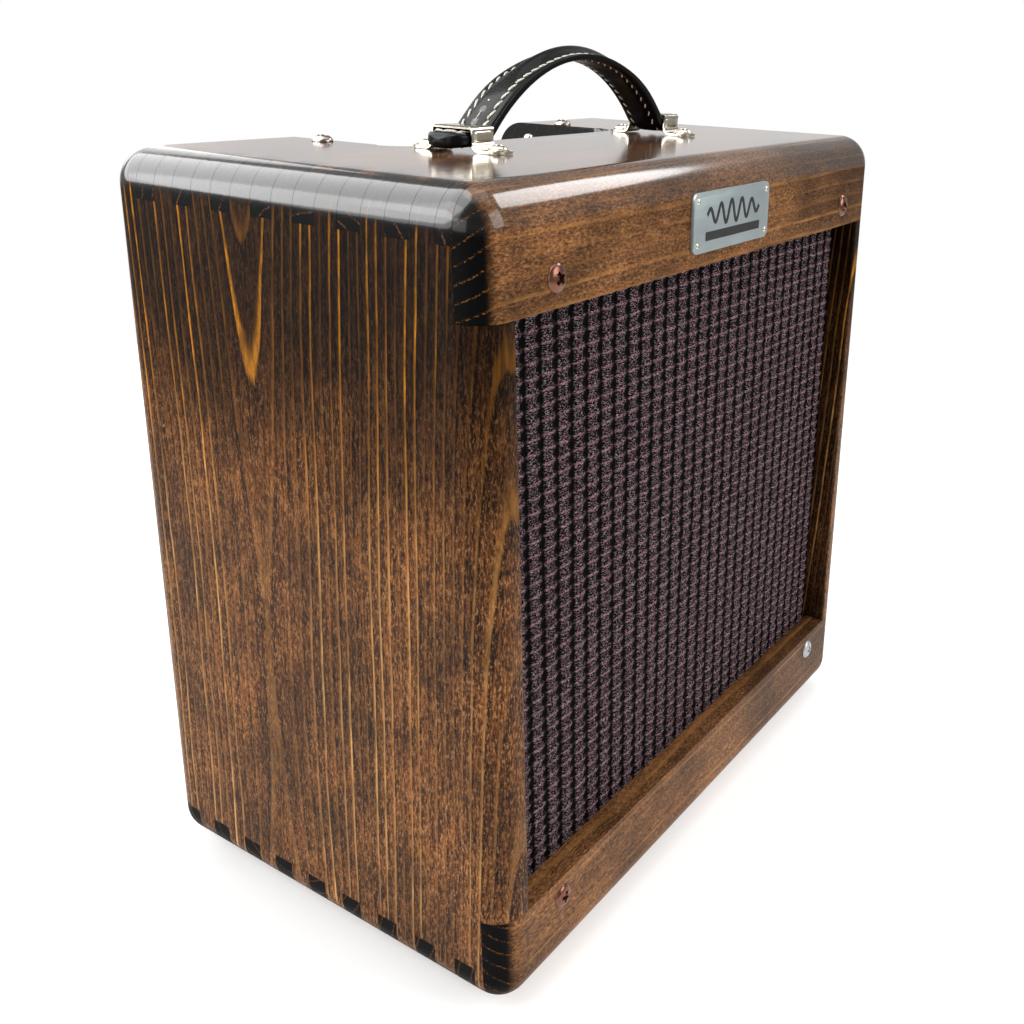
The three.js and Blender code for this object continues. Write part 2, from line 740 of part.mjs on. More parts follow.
const fuseHolder = turned([
  [0, -30],
  [5, -30],
  [6, -24],
  [6, GAP],
  [8.4, GAP],
  [8.4, 2.6],
  [6.4, 2.8],
  [6.2, 9],
  [5.4, 9.8],
  [0, 9.8],
], 18);

const inputJack = turned([
  [0, -21],
  [8.5, -21],
  [8.5, UNDER_SHEET],
  [4.6, UNDER_SHEET],
  [4.6, GAP],
  [7.4, GAP],
  [7.4, 2.4],
  [5, 2.6],
  [5, 4.6],
  [3.25, 4.6],
  [3.25, -18],
  [0, -18],
], 18);

const controls = new THREE.Group();
controls.position.set(0, CONTROL_Y, CHASSIS_TOP);
cabinet.add(mesh('chassis_tray', chassisTray(), STEEL), controls);

const lever = mesh('switch_lever', toggleLever, NICKEL, [SWITCH_X, 0, TOGGLE_PIVOT]);
lever.rotation.x = THREE.MathUtils.degToRad(SWITCH_THROW);
controls.add(
  mesh('volume_pot', volumePot, STEEL, [VOLUME_X, 0, 0]),
  mesh('volume_knob', volumeKnob(), BLACK_PLASTIC, [VOLUME_X, 0, 0]),
  mesh('power_switch', toggleBody(), NICKEL, [SWITCH_X, 0, 0]),
  lever,
  mesh('pilot_lamp', pilotLamp, RED_GLASS, [PILOT_X, 0, 0]),
  mesh('fuse_holder', fuseHolder, BLACK_PLASTIC, [FUSE_X, 0, 0]),
  ...JACK_XS.map((x, i) => mesh(`input_jack_${i + 1}`, inputJack, NICKEL, [x, 0, 0])),
);

// ---------------------------------------------------------------- valves, transformers and board

const valves = new THREE.Group();
valves.position.set(0, CONTROL_Y, CHASSIS_BOTTOM);
cabinet.add(valves);

// A socket whose collar passes down through a hole in the chassis floor.
function valveSocket(hole) {
  const collar = hole - GAP;
  return turned([
    [0, -4.2],
    [collar, -4.2],
    [collar, SHEET + GAP],
    [hole + 3.8, SHEET + GAP],
    [hole + 3.8, SHEET + 2.5],
    [collar - 1, SHEET + 2.5],
    [collar - 1, 11],
    [0, 11],
  ], 20);
}

const octalValve = turned([
  [0, -82],
  [8, -81],
  [13, -76],
  [14.6, -70],
  [14.6, -27],
  [15.6, -26],
  [16.2, -24],
  [16.2, -1],
  [15.4, 0],
  [0, 0],
]);

const novalValve = turned([
  [0, -50],
  [2.4, -49],
  [3, -46],
  [8.4, -44],
  [10.2, -40],
  [10.2, 0],
  [0, 0],
], 20);

const VALVE_TOP = -4.2 - GAP;
valves.add(
  mesh('rectifier_socket', valveSocket(OCTAL_HOLE), BLACK_PLASTIC, [RECTIFIER_X, 0, 0]),
  mesh('power_valve_socket', valveSocket(OCTAL_HOLE), BLACK_PLASTIC, [POWER_VALVE_X, 0, 0]),
  mesh('preamp_valve_socket', valveSocket(NOVAL_HOLE), BLACK_PLASTIC, [PREAMP_VALVE_X, 0, 0]),
  mesh('rectifier_valve', octalValve, GLASS, [RECTIFIER_X, 0, VALVE_TOP]),
  mesh('power_valve', octalValve, GLASS, [POWER_VALVE_X, 0, VALVE_TOP]),
  mesh('preamp_valve', novalValve, GLASS, [PREAMP_VALVE_X, 0, VALVE_TOP]),
);

// Laminated core with a rounded bell cover on each side.
function powerTransformer() {
  const core = box([-11, 11], [-25, 25], [-48, -GAP]);
  const cover = (start) => extrudedX(roundedShape(rectangle(19, 20, 0, -24), 6), start, { depth: 12 });
  return core.add(cover(-23)).add(cover(11));
}

// Small laminated core around its winding, in a folded strap with two ears.
function outputTransformer() {
  const core = box([-18, 18], [-7, 7], [-34, -2]);
  const winding = extrudedX(roundedShape(rectangle(15, 11, 0, -18), 5), -12, { depth: 24 });
  const ears = box([-21, 21], [-7, 7], [-2, -GAP]);
  return core.add(winding).add(ears);
}

const BOARD_LENGTH = 120;
valves.add(
  mesh('power_transformer', powerTransformer(), BLACK_PAINT, [-73, 2, 0]),
  mesh('output_transformer', outputTransformer(), BLACK_PAINT, [77, 2, 0]),
  mesh(
    'circuit_board',
    box([-BOARD_LENGTH / 2, BOARD_LENGTH / 2], [-2, 0], [-15, 15]),
    BOARD_FIBRE,
    [0, CHASSIS_FRONT_Y + SHEET + 6 - CONTROL_Y, CHASSIS_HEIGHT / 2 + 4],
  ),
);

// Three-pin appliance inlet set in the upper back panel, its recess open to the rear.
function mainsInlet() {
  const flange = extrudedY(roundedShape(rectangle(12.2, 15.6), 3), GAP, 2.4);
  const body = box([-10, 10], [-20, GAP + 1], [-13.5, 13.5]);
  const recess = box([-8.1, 8.1], [-15, 5], [-12, 12]);
  const pins = [-7, 0, 7].map((z) => box([-2, 2], [-16, -2.5], [z - 1, z + 1]));
  return pins.reduce((inlet, pin) => inlet.add(pin), flange.add(body).subtract(recess));
}

cabinet.add(mesh('mains_inlet', mainsInlet(), BLACK_PLASTIC, [INLET_X, BACK_FACE_Y, INLET_Z]));

// ---------------------------------------------------------------- handle

const handle = new THREE.Group();
handle.position.z = CABINET_HEIGHT;
cabinet.add(handle);

// Rounded strap section, drawn in (y, z) about its own middle.
function strapSection(thickness) {
  return roundedShape(rectangle(STRAP_WIDTH / 2, thickness / 2), thickness / 2 - 0.2);
}

// Circular arch of the strap between the two caps.
function strapArch() {
  const rise = STRAP_ARCH_CROWN - STRAP_ARCH_FOOT;
  const radius = (STRAP_ARCH_HALF ** 2 + rise ** 2) / (2 * rise);
  const halfAngle = Math.asin(STRAP_ARCH_HALF / radius);
  const centreZ = STRAP_ARCH_CROWN - radius;
  const steps = 20;
  const points = Array.from({ length: steps + 1 }, (_, i) => {
    const angle = halfAngle * ((2 * i) / steps - 1);
    return new THREE.Vector3(radius * Math.sin(angle), 0, centreZ + radius * Math.cos(angle));
  });
  const path = new THREE.CatmullRomCurve3(points);
  const options = { steps, extrudePath: path, curveSegments: 1 };
  return solidFrom(new THREE.ExtrudeGeometry(strapSection(STRAP_THICKNESS), options));
}

// Flat end of the strap, rounded in plan where it passes out beyond its cap.
function strapTab(inner, outer) {
  const low = Math.min(inner, outer) - STRAP_WIDTH * (outer > 0);
  const high = Math.max(inner, outer) + STRAP_WIDTH * (outer < 0);
  const centre = (low + high) / 2;
  const plan = roundedShape(rectangle((high - low) / 2, STRAP_WIDTH / 2, centre), 7);
  const options = { depth: Math.abs(outer - inner), curveSegments: 1 };
  return extrudedX(strapSection(TAB_THICKNESS), Math.min(inner, outer), options)
    .intersect(extrudedZ(plan, -TAB_THICKNESS, 2 * TAB_THICKNESS));
}

// Folded nickel bridge over the strap, with a flange and a screw hole on each side.
function handleCap() {
  const [wall, flangeEnd, top] = [9.4, 22.5, 9.6];
  const foot = 3;
  const outline = new THREE.Shape();
  outline.moveTo(-flangeEnd, GAP);
  outline.lineTo(-wall - foot, GAP);
  outline.absarc(-wall - foot, GAP + foot, foot, -Math.PI / 2, 0, false);
  outline.lineTo(-wall, top - CAP_PLATE);
  outline.lineTo(wall, top - CAP_PLATE);
  outline.lineTo(wall, GAP + foot);
  outline.absarc(wall + foot, GAP + foot, foot, Math.PI, Math.PI * 1.5, false);
  outline.lineTo(flangeEnd, GAP);
  outline.lineTo(flangeEnd, GAP + CAP_PLATE);
  outline.lineTo(wall + foot, GAP + CAP_PLATE);
  outline.absarc(wall + foot, GAP + foot, foot - CAP_PLATE, -Math.PI / 2, -Math.PI, true);
  outline.lineTo(wall + CAP_PLATE, top - 0.6);
  outline.lineTo(wall + CAP_PLATE - 0.6, top);
  outline.lineTo(-wall - CAP_PLATE + 0.6, top);
  outline.lineTo(-wall - CAP_PLATE, top - 0.6);
  outline.lineTo(-wall - CAP_PLATE, GAP + foot);
  outline.absarc(-wall - foot, GAP + foot, foot - CAP_PLATE, 0, -Math.PI / 2, true);
  outline.lineTo(-flangeEnd, GAP + CAP_PLATE);
  const bridge = extrudedX(outline, -HANDLE_CAP_LENGTH / 2, { depth: HANDLE_CAP_LENGTH });
  return bridge
    .subtract(rod(SCREW_HOLE, AXIS_Z, [0, -HANDLE_SCREW_Y, -1], 4, 12))
    .subtract(rod(SCREW_HOLE, AXIS_Z, [0, HANDLE_SCREW_Y, -1], 4, 12));
}

const leftTab = strapTab(-TAB_INNER_X, -LEFT_TAB_OUTER_X);
const rightTab = strapTab(TAB_INNER_X, RIGHT_TAB_OUTER_X);
handle.add(
  mesh('handle_grip', strapArch(), BLACK_LEATHER),
  mesh('handle_tab_left', leftTab, BLACK_LEATHER, [0, 0, STRAP_TAB_HEIGHT]),
  mesh('handle_tab_right', rightTab, BLACK_LEATHER, [0, 0, STRAP_TAB_HEIGHT]),
  mesh('handle_cap_left', handleCap(), NICKEL, [-HANDLE_CAP_X, 0, 0]),
  mesh('handle_cap_right', handleCap(), NICKEL, [HANDLE_CAP_X, 0, 0]),
);

const flangeTop = CAP_PLATE + GAP;
handleScrewPlaces.forEach(([x, y]) => {
  const name = `handle_screw_${x < 0 ? 'left' : 'right'}_${y < 0 ? 'front' : 'rear'}`;
  handle.add(mesh(name, screw(4.3, 2.4, 16), NICKEL, [x, y, flangeTop]));
});

const amplifier = new THREE.Group();
amplifier.add(cabinet);

export default amplifier;
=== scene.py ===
"""Looks of a small finger-jointed combo amplifier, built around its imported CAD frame.

Shapes are drawn in millimetres, +Z up and the front towards -Y. piece() turns them into metres.
"""

import math

import bmesh
import bpy
import numpy as np
from mathutils import Matrix, Vector


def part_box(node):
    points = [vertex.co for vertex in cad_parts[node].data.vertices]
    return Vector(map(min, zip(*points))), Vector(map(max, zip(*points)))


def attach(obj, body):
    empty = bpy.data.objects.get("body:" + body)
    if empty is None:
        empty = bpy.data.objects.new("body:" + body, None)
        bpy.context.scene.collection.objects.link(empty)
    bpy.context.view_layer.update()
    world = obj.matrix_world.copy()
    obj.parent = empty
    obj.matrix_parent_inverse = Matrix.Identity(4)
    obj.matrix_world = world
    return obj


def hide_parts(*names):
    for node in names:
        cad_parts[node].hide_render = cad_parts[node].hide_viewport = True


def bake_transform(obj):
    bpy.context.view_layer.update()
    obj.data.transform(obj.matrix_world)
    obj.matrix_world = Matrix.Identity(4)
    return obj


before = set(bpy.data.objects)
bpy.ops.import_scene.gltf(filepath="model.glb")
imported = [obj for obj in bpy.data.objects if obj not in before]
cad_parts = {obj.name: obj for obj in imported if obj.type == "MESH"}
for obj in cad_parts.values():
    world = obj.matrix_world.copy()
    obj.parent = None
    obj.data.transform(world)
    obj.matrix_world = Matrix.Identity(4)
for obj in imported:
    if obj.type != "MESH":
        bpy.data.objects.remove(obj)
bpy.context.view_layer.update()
MM = 0.001
TAU = 2 * math.pi

# ------------------------------------------------------------------ sizes, from the frame


def corners(node):
    """Lowest and highest corner of a CAD node, in millimetres."""
    low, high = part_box(node)
    return low / MM, high / MM


def middle(node):
    low, high = corners(node)
    return (low + high) / 2


SIDE_LOW, SIDE_HIGH = corners("left_side")
HALF_WIDTH = -SIDE_LOW.x
SIDE_INNER = -SIDE_HIGH.x
HALF_DEPTH = SIDE_HIGH.y
UNDERSIDE = SIDE_LOW.z
TOP = SIDE_HIGH.z
CEILING = corners("top_board")[0].z
FLOOR_TOP = corners("bottom_board")[1].z
TOP_RAIL_BOTTOM = corners("front_top_rail")[0].z
BOTTOM_RAIL_TOP = corners("front_bottom_rail")[1].z
RAIL_THICKNESS = 11.0
EDGE_RADIUS = 14.0
FRONT_LEAN = 19.0                 # how much further back the front face is at the top
FINGER = 10.3
TOP_FINGERS = (80.4, 8)           # rear edge of the rearmost finger, and how many
BOTTOM_FINGERS = (91.5, 9)
JOINT_GAP = 0.12                  # hairline between glued boards
LEAN = math.atan(FRONT_LEAN / (TOP - UNDERSIDE))
FRONT = Matrix.Translation((0, -HALF_DEPTH, UNDERSIDE)) @ Matrix.Rotation(-LEAN, 4, "X")
PAST = 6.0                        # how far a cutting shape runs past its work


def front_y(z):
    return -HALF_DEPTH + (z - UNDERSIDE) * math.tan(LEAN)


def behind_front(z, depth):
    return front_y(z) + depth / math.cos(LEAN)


# ------------------------------------------------------------------ placing and mesh tools


def shift(x, y, z):
    return Matrix.Translation((x, y, z))


def about(axis, degrees):
    return Matrix.Rotation(math.radians(degrees), 4, axis)


def ray(angle, reach=1.0, level=0.0):
    """The point at reach from the +Z axis, in the direction of angle."""
    return Vector((reach * math.cos(angle), reach * math.sin(angle), level))


def added(bm, before, material, place=None):
    """Turns the new faces outwards, gives them a material index and moves them."""
    faces = [f for f in bm.faces if f not in before]
    bmesh.ops.recalc_face_normals(bm, faces=faces)
    for face in faces:
        face.material_index = material
    if place is not None:
        bmesh.ops.transform(bm, matrix=place, verts=list({v for f in faces for v in f.verts}))
    return faces


def prism(bm, outline, low, high, axis="Z", bevel=0.0, material=0, steps=3, place=None):
    """A closed prism of a 2-D outline: axis Z takes (x, y), Y takes (x, z) and X takes (y, z)."""
    order = {
        "Z": lambda a, b, c: (a, b, c),
        "Y": lambda a, b, c: (a, c, b),
        "X": lambda a, b, c: (c, a, b),
    }[axis]
    before = set(bm.faces)
    rims = [[bm.verts.new(order(a, b, level)) for a, b in outline] for level in (low, high)]
    ends = [bm.faces.new(rim) for rim in rims]
    count = len(outline)
    for i in range(count):
        j = (i + 1) % count
        bm.faces.new((rims[0][i], rims[0][j], rims[1][j], rims[1][i]))
    if bevel:
        edges = [e for end in ends for e in end.edges]
        bmesh.ops.bevel(bm, geom=edges, offset=bevel, segments=steps, profile=0.5, affect="EDGES")
    added(bm, before, material, place)
    return bm


def box(bm, xs, ys, zs, bevel=0.0, material=0, place=None):
    """A box with all its edges rounded by bevel."""
    before = set(bm.faces)
    made = bmesh.ops.create_cube(bm, size=1)
    size = Vector((xs[1] - xs[0], ys[1] - ys[0], zs[1] - zs[0]))
    centre = Vector((sum(xs), sum(ys), sum(zs))) / 2
    fitted = Matrix.Translation(centre) @ Matrix.Diagonal((*size, 1))
    bmesh.ops.transform(bm, matrix=fitted, verts=made["verts"])
    if bevel:
        edges = list({e for v in made["verts"] for e in v.link_edges})
        bmesh.ops.bevel(bm, geom=edges, offset=bevel, segments=3, profile=0.5, affect="EDGES")
    added(bm, before, material, place)
    return bm


def turned(bm, profile, segments=32, material=0, place=None):
    """A profile of (radius, height) points turned about +Z.

    It starts and ends on the axis, or closes on itself.
    """
    before = set(bm.faces)
    rings = []
    for radius, height in profile:
        if radius < 1e-6:
            rings.append([bm.verts.new((0, 0, height))])
            continue
        rings.append([bm.verts.new((x, y, height)) for x, y in polygon(segments, radius)])
    closed = len(rings[0]) > 1 and len(rings[-1]) > 1
    pairs = list(zip(rings, rings[1:]))
    if closed:
        pairs.append((rings[-1], rings[0]))
    for lower, upper in pairs:
        for i in range(segments):
            j = (i + 1) % segments
            loop = [lower[k % len(lower)] for k in (i, j)] + [upper[k % len(upper)] for k in (j, i)]
            loop = list(dict.fromkeys(loop))
            if len(loop) > 2:
                bm.faces.new(loop)
    added(bm, before, material, place)
    return bm


def plain_ring(bm, inner, outer, low, high, segments=32, material=0, place=None):
    """A plain ring about +Z, or a disc where inner is 0."""
    profile = [(inner, low), (outer, low), (outer, high), (inner, high)]
    return turned(bm, profile, segments, material, place)


def skin(bm, rings, material=0, closed_path=False, place=None):
    """A closed skin over a row of rings of points, capped at both ends unless the path is closed."""
    before = set(bm.faces)
    loops = [[bm.verts.new(p) for p in ring] for ring in rings]
    pairs = list(zip(loops, loops[1:]))
    if closed_path:
        pairs.append((loops[-1], loops[0]))
    else:
        bm.faces.new(loops[0])
        bm.faces.new(loops[-1])
    for one, two in pairs:
        count = len(one)
        for i in range(count):
            j = (i + 1) % count
            bm.faces.new((one[i], one[j], two[j], two[i]))
    added(bm, before, material, place)
    return bm


def tube(bm, points, radius, sides=8, material=0, closed_path=False, place=None):
    """A round tube along points; radius is one number or one for each point."""
    points = [Vector(p) for p in points]
    count = len(points)
    radii = [radius] * count if isinstance(radius, (int, float)) else list(radius)
    rings = []
    guide = None
    for i, point in enumerate(points):
        after = points[(i + 1) % count] if closed_path else points[min(i + 1, count - 1)]
        prior = points[i - 1] if closed_path else points[max(i - 1, 0)]
        along = (after - prior).normalized()
        if guide is None:
            guide = along.orthogonal()
        guide = (guide - along * guide.dot(along)).normalized()
        other = along.cross(guide)
        turn = [TAU * k / sides for k in range(sides)]
        rings.append([point + radii[i] * (guide * math.cos(a) + other * math.sin(a)) for a in turn])
    return skin(bm, rings, material, closed_path, place)


def arc(centre, radius, start, end, steps):
    """Points on an arc, angles in degrees."""
    turns = [math.radians(start + (end - start) * i / steps) for i in range(steps + 1)]
    return [(centre[0] + radius * math.cos(a), centre[1] + radius * math.sin(a)) for a in turns]


def rounded_rectangle(half_width, half_height, radius, centre=(0, 0), steps=6):
    """Outline of a rectangle with round corners, counter-clockwise."""
    outline = []
    for turn, (sx, sy) in enumerate([(1, 1), (-1, 1), (-1, -1), (1, -1)]):
        place = (centre[0] + sx * (half_width - radius), centre[1] + sy * (half_height - radius))
        outline += arc(place, radius, 90 * turn, 90 * turn + 90, steps)
    return outline


def polygon(count, radius, turn=0.0):
    turns = [turn + TAU * i / count for i in range(count)]
    return [(radius * math.cos(a), radius * math.sin(a)) for a in turns]


def combine(bm, cutter, operation="DIFFERENCE"):
    """Joins or cuts one solid with another, and uses up both."""
    objects = []
    for source in (bm, cutter):
        mesh = bpy.data.meshes.new("scratch")
        source.to_mesh(mesh)
        source.free()
        objects.append(bpy.data.objects.new("scratch", mesh))
        bpy.context.scene.collection.objects.link(objects[-1])
    work = objects[0].modifiers.new("combine", "BOOLEAN")
    work.operation = operation
    work.solver = "EXACT"
    work.object = objects[1]
    bpy.context.view_layer.update()
    evaluated = objects[0].evaluated_get(bpy.context.evaluated_depsgraph_get())
    result = bmesh.new()
    result.from_mesh(evaluated.to_mesh())
    for o in objects:
        mesh = o.data
        bpy.data.objects.remove(o)
        bpy.data.meshes.remove(mesh)
    return result


def soften(bm, chosen, radius, steps=3):
    """Rounds the edges whose two ends both satisfy the chosen test."""
    edges = [e for e in bm.edges if all(chosen(v.co) for v in e.verts) and e.calc_face_angle(0) > 0.5]
    bmesh.ops.bevel(bm, geom=edges, offset=radius, segments=steps, profile=0.5, affect="EDGES")
    return bm


def piece(
    name, bm, materials, body="cabinet", replaces=(), smooth=40, weighted=False, place=None
):
    """Makes a finished object from a mesh in millimetres and lets it ride on its body."""
    if place is not None:
        bmesh.ops.transform(bm, matrix=place, verts=bm.verts)
    bmesh.ops.transform(bm, matrix=Matrix.Scale(MM, 4), verts=bm.verts)
    mesh = bpy.data.meshes.new(name)
    bm.to_mesh(mesh)
    bm.free()
    for material in materials if isinstance(materials, (list, tuple)) else [materials]:
        mesh.materials.append(material)
    mesh.polygons.foreach_set("use_smooth", [True] * len(mesh.polygons))
    mesh.set_sharp_from_angle(angle=math.radians(smooth))
    o = bpy.data.objects.new(name, mesh)
    bpy.context.scene.collection.objects.link(o)
    if weighted:
        normals = o.modifiers.new("face_weighted_normals", "WEIGHTED_NORMAL")
        normals.keep_sharp = True
    if body:
        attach(o, body)
    if replaces:
        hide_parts(*replaces)
    return o


# ------------------------------------------------------------------ material tools


def colour(hexadecimal):
    """Linear colour from a hexadecimal sRGB one."""
    channels = [int(hexadecimal[i : i + 2], 16) / 255 for i in (0, 2, 4)]
    return (*[c / 12.92 if c <= 0.04045 else ((c + 0.055) / 1.055) ** 2.4 for c in channels], 1)


class Surface:
    """One material's node tree, built by short calls whose inputs are sockets or plain numbers."""

    def __init__(self, name, **shader):
        self.material = bpy.data.materials.new(name)
        self.material.use_nodes = True
        self.tree = self.material.node_tree
        self.shader = self.tree.nodes["Principled BSDF"]
        for socket, value in shader.items():
            self.shader.inputs[socket.replace("_", " ")].default_value = value

    def node(self, kind, inputs=(), output=0, **settings):
        made = self.tree.nodes.new(kind)
        for key, value in settings.items():
            setattr(made, key, value)
        for key, value in dict(inputs).items():
            if isinstance(value, bpy.types.NodeSocket):
                self.tree.links.new(value, made.inputs[key])
            else:
                made.inputs[key].default_value = value
        return made.outputs[output]

    def link(self, value, name):
        self.tree.links.new(value, self.shader.inputs[name])

    def millimetres(self):
        """The piece's own point in millimetres; pieces keep their origin at the frame's."""
        point = self.node("ShaderNodeTexCoord", output="Object")
        return self.node("ShaderNodeVectorMath", {0: point, 3: 1 / MM}, operation="SCALE")

    def split(self, vector):
        made = self.tree.nodes.new("ShaderNodeSeparateXYZ")
        self.tree.links.new(vector, made.inputs[0])
        return made.outputs[0], made.outputs[1], made.outputs[2]

    def join(self, x, y, z):
        return self.node("ShaderNodeCombineXYZ", {0: x, 1: y, 2: z})

    def maths(self, operation, a, b=0.0, c=0.0, clamp=False):
        return self.node("ShaderNodeMath", {0: a, 1: b, 2: c}, operation=operation, use_clamp=clamp)

    def times(self, a, b):
        return self.maths("MULTIPLY", a, b)

    def stretched(self, vector, x, y, z):
        return self.node("ShaderNodeVectorMath", {0: vector, 1: (x, y, z)}, operation="MULTIPLY")

    def noise(self, vector, scale, detail=3.0, roughness=0.5, distortion=0.0):
        inputs = {"Vector": vector, "Scale": scale, "Detail": detail, "Roughness": roughness}
        return self.node("ShaderNodeTexNoise", {**inputs, "Distortion": distortion})

    def spread(self, value, low, high, new_low=0.0, new_high=1.0, kind="SMOOTHSTEP"):
        """Maps low..high to new_low..new_high."""
        inputs = {"Value": value, "From Min": low, "From Max": high}
        inputs.update({"To Min": new_low, "To Max": new_high})
        return self.node("ShaderNodeMapRange", inputs, interpolation_type=kind)

    def blend(self, factor, a, b, kind="MIX"):
        sockets = {0: factor, 6: a, 7: b}    # the mix node's colour inputs are 6 and 7
        return self.node("ShaderNodeMix", sockets, output=2, data_type="RGBA", blend_type=kind)

    def random(self, value):
        return self.node("ShaderNodeTexWhiteNoise", {"W": value}, noise_dimensions="1D")

    def bump(self, height, strength, distance):
        inputs = {"Height": height, "Strength": strength, "Distance": distance * MM}
        self.link(self.node("ShaderNodeBump", inputs), "Normal")


ARCH_PER_CURVE = 38.0             # how strongly a taper draws its one bold arch
SIDE_PAINTED_SHADE = (175.0, 285.0)       # heights over which painted shade darkens a side towards its top
SIDE_THINNING = (150.0, 270.0)    # heights over which its lacquer thins and its gold deepens
LEVEL_FADE = (-20.0, 150.0)       # where a level board's brightness falls, from left to right


def stained_pine(
    name, along, pith, seed, spacing, oval=1.0, curve=0.0, centre=0.0, tone=1.0, gold=1.0, wash=0.0,
    gloss=0.2, fade=1.0, edge_shade=0.85
):
    """Dark-stained pine under clear lacquer, its growth rings round a pith line along the board.

    pith gives the line's place across the board and in its depth, and spacing the rings' pitch.
    oval squeezes the rings across the board. curve tapers them along it, away from centre, so that
    they run out in the pointed arches of a flat-sawn face. tone is the wood's brightness, gold the
    strength of its pale late wood, and wash evens the stain out towards a paler brown. gloss is the
    lacquer's weight away from the top edges, where it pools. fade is the share of its brightness that
    a level board keeps at its right-hand end. The last argument sets how dark painted shade makes
    the rounded top edge.
    """
    s = Surface(name, Coat_Roughness=0.12, Coat_IOR=1.4, Specular_IOR_Level=0.05)
    x, y, z = s.split(s.millimetres())
    length, depth = (x, z) if along == "X" else (z, x)
    across = y
    grain = s.join(s.times(length, 0.07), across, depth)
    slow = s.noise(s.stretched(grain, 0.1, 0.03, 0.03), 1.0, detail=2.0)
    wobble = s.maths("MULTIPLY_ADD", s.maths("SUBTRACT", slow, 0.5), 8.0, seed)
    a = s.times(s.maths("SUBTRACT", across, pith[0]), oval)
    d = s.maths("SUBTRACT", depth, pith[1])
    l = s.maths("SUBTRACT", length, centre)
    square = s.maths("MULTIPLY_ADD", a, a, s.times(d, d))
    square = s.maths("SUBTRACT", square, s.times(s.times(l, l), curve))
    radius = s.maths("SQRT", s.maths("MAXIMUM", square, 1.0))
    fibre = s.noise(grain, 0.9, detail=4.0, roughness=0.7)
    dash = s.noise(s.stretched(grain, 5.0, 1.0, 1.0), 1.35, detail=3.0, roughness=0.75)
    uneven = s.maths("MULTIPLY_ADD", fibre, 1.3, s.maths("ADD", radius, wobble))
    rings = s.maths("DIVIDE", uneven, spacing)
    phase = s.maths("FRACT", rings)
    ring = s.maths("ADD", s.maths("FLOOR", rings), seed)
    late = s.times(s.spread(phase, 0.7, 0.9), s.spread(phase, 1.0, 0.94))
    bold = min(curve * ARCH_PER_CURVE, 1.0)
    arch = s.times(s.spread(radius, 29.0, 25.0), s.spread(radius, 17.0, 21.0, 0.0, bold))
    strength = s.maths("MAXIMUM", s.maths("POWER", s.random(ring), 2.4), arch)
    patch = s.noise(s.stretched(grain, 0.2, 0.04, 0.04), 1.0, detail=3.0)
    line = s.times(late, s.maths("MULTIPLY_ADD", strength, 0.85, 0.1))
    line = s.times(line, s.spread(patch, 0.3, 0.65, 0.3 * gold, gold))
    broken = s.noise(s.stretched(grain, 1.0, 0.3, 0.3), 1.0, detail=2.0)
    line = s.times(line, s.spread(broken, 0.38, 0.62, 0.45, 1.15))
    line = s.times(line, s.spread(dash, 0.4, 0.56, 0.55, 1.0))
    base = s.blend(s.spread(fibre, 0.36, 0.64), colour("2a150a"), colour("754723"))
    early = s.times(s.spread(phase, 0.3, 0.85, 0.0, 0.5), s.random(s.maths("ADD", ring, 9.5)))
    base = s.blend(early, base, colour("8a5628"))
    base = s.blend(s.spread(phase, 0.0, 0.3, 0.6 * gold, 0.0), base, colour("0c0603"))
    wood = s.blend(wash, base, colour("80593a"))
    wood = s.blend(s.spread(dash, 0.5, 0.64, 0.0, 0.9 - 0.5 * wash), wood, colour("0c0603"))
    wood = s.blend(s.spread(dash, 0.48, 0.34, 0.0, 0.7), wood, colour("a8794c"))
    blotch = s.noise(s.stretched(grain, 0.3, 0.03, 0.03), 1.0, detail=3.0, roughness=0.6)
    # random blotches of tone; on the sides, painted shade is multiplied in below
    shade = s.spread(blotch, 0.3, 0.7, 0.6 * tone, 1.45 * tone)
    light = colour("e2a558")
    if along == "Z":
        # painted shade: a side darkens towards its top
        shade = s.times(shade, s.spread(z, *SIDE_PAINTED_SHADE, 1.0, 0.13))
        # painted shade on a side's inner face, inside the cabinet
        depth_in = s.maths("ABSOLUTE", x)
        shade = s.times(shade, s.spread(depth_in, SIDE_INNER + 1.0, SIDE_INNER + 0.2, 1.0, 0.3))
        light = s.blend(s.spread(z, *SIDE_THINNING), colour("e0aa66"), colour("e2921e"))
    else:
        shade = s.times(shade, s.spread(x, *LEVEL_FADE, 1.0, fade))
    wood = s.blend(1.0, wood, s.join(shade, shade, shade), "MULTIPLY")
    wood = s.blend(line, wood, light)
    facing = s.split(s.node("ShaderNodeTexCoord", output="Normal"))
    end = s.spread(s.maths("ABSOLUTE", facing[0 if along == "X" else 2]), 0.3, 0.62)
    # band of the rounded top edge: the lacquer pools here, and here painted shade darkens the wood
    pooled_and_shaded = s.spread(z, TOP - EDGE_RADIUS - 1.5, TOP - EDGE_RADIUS + 2.5)
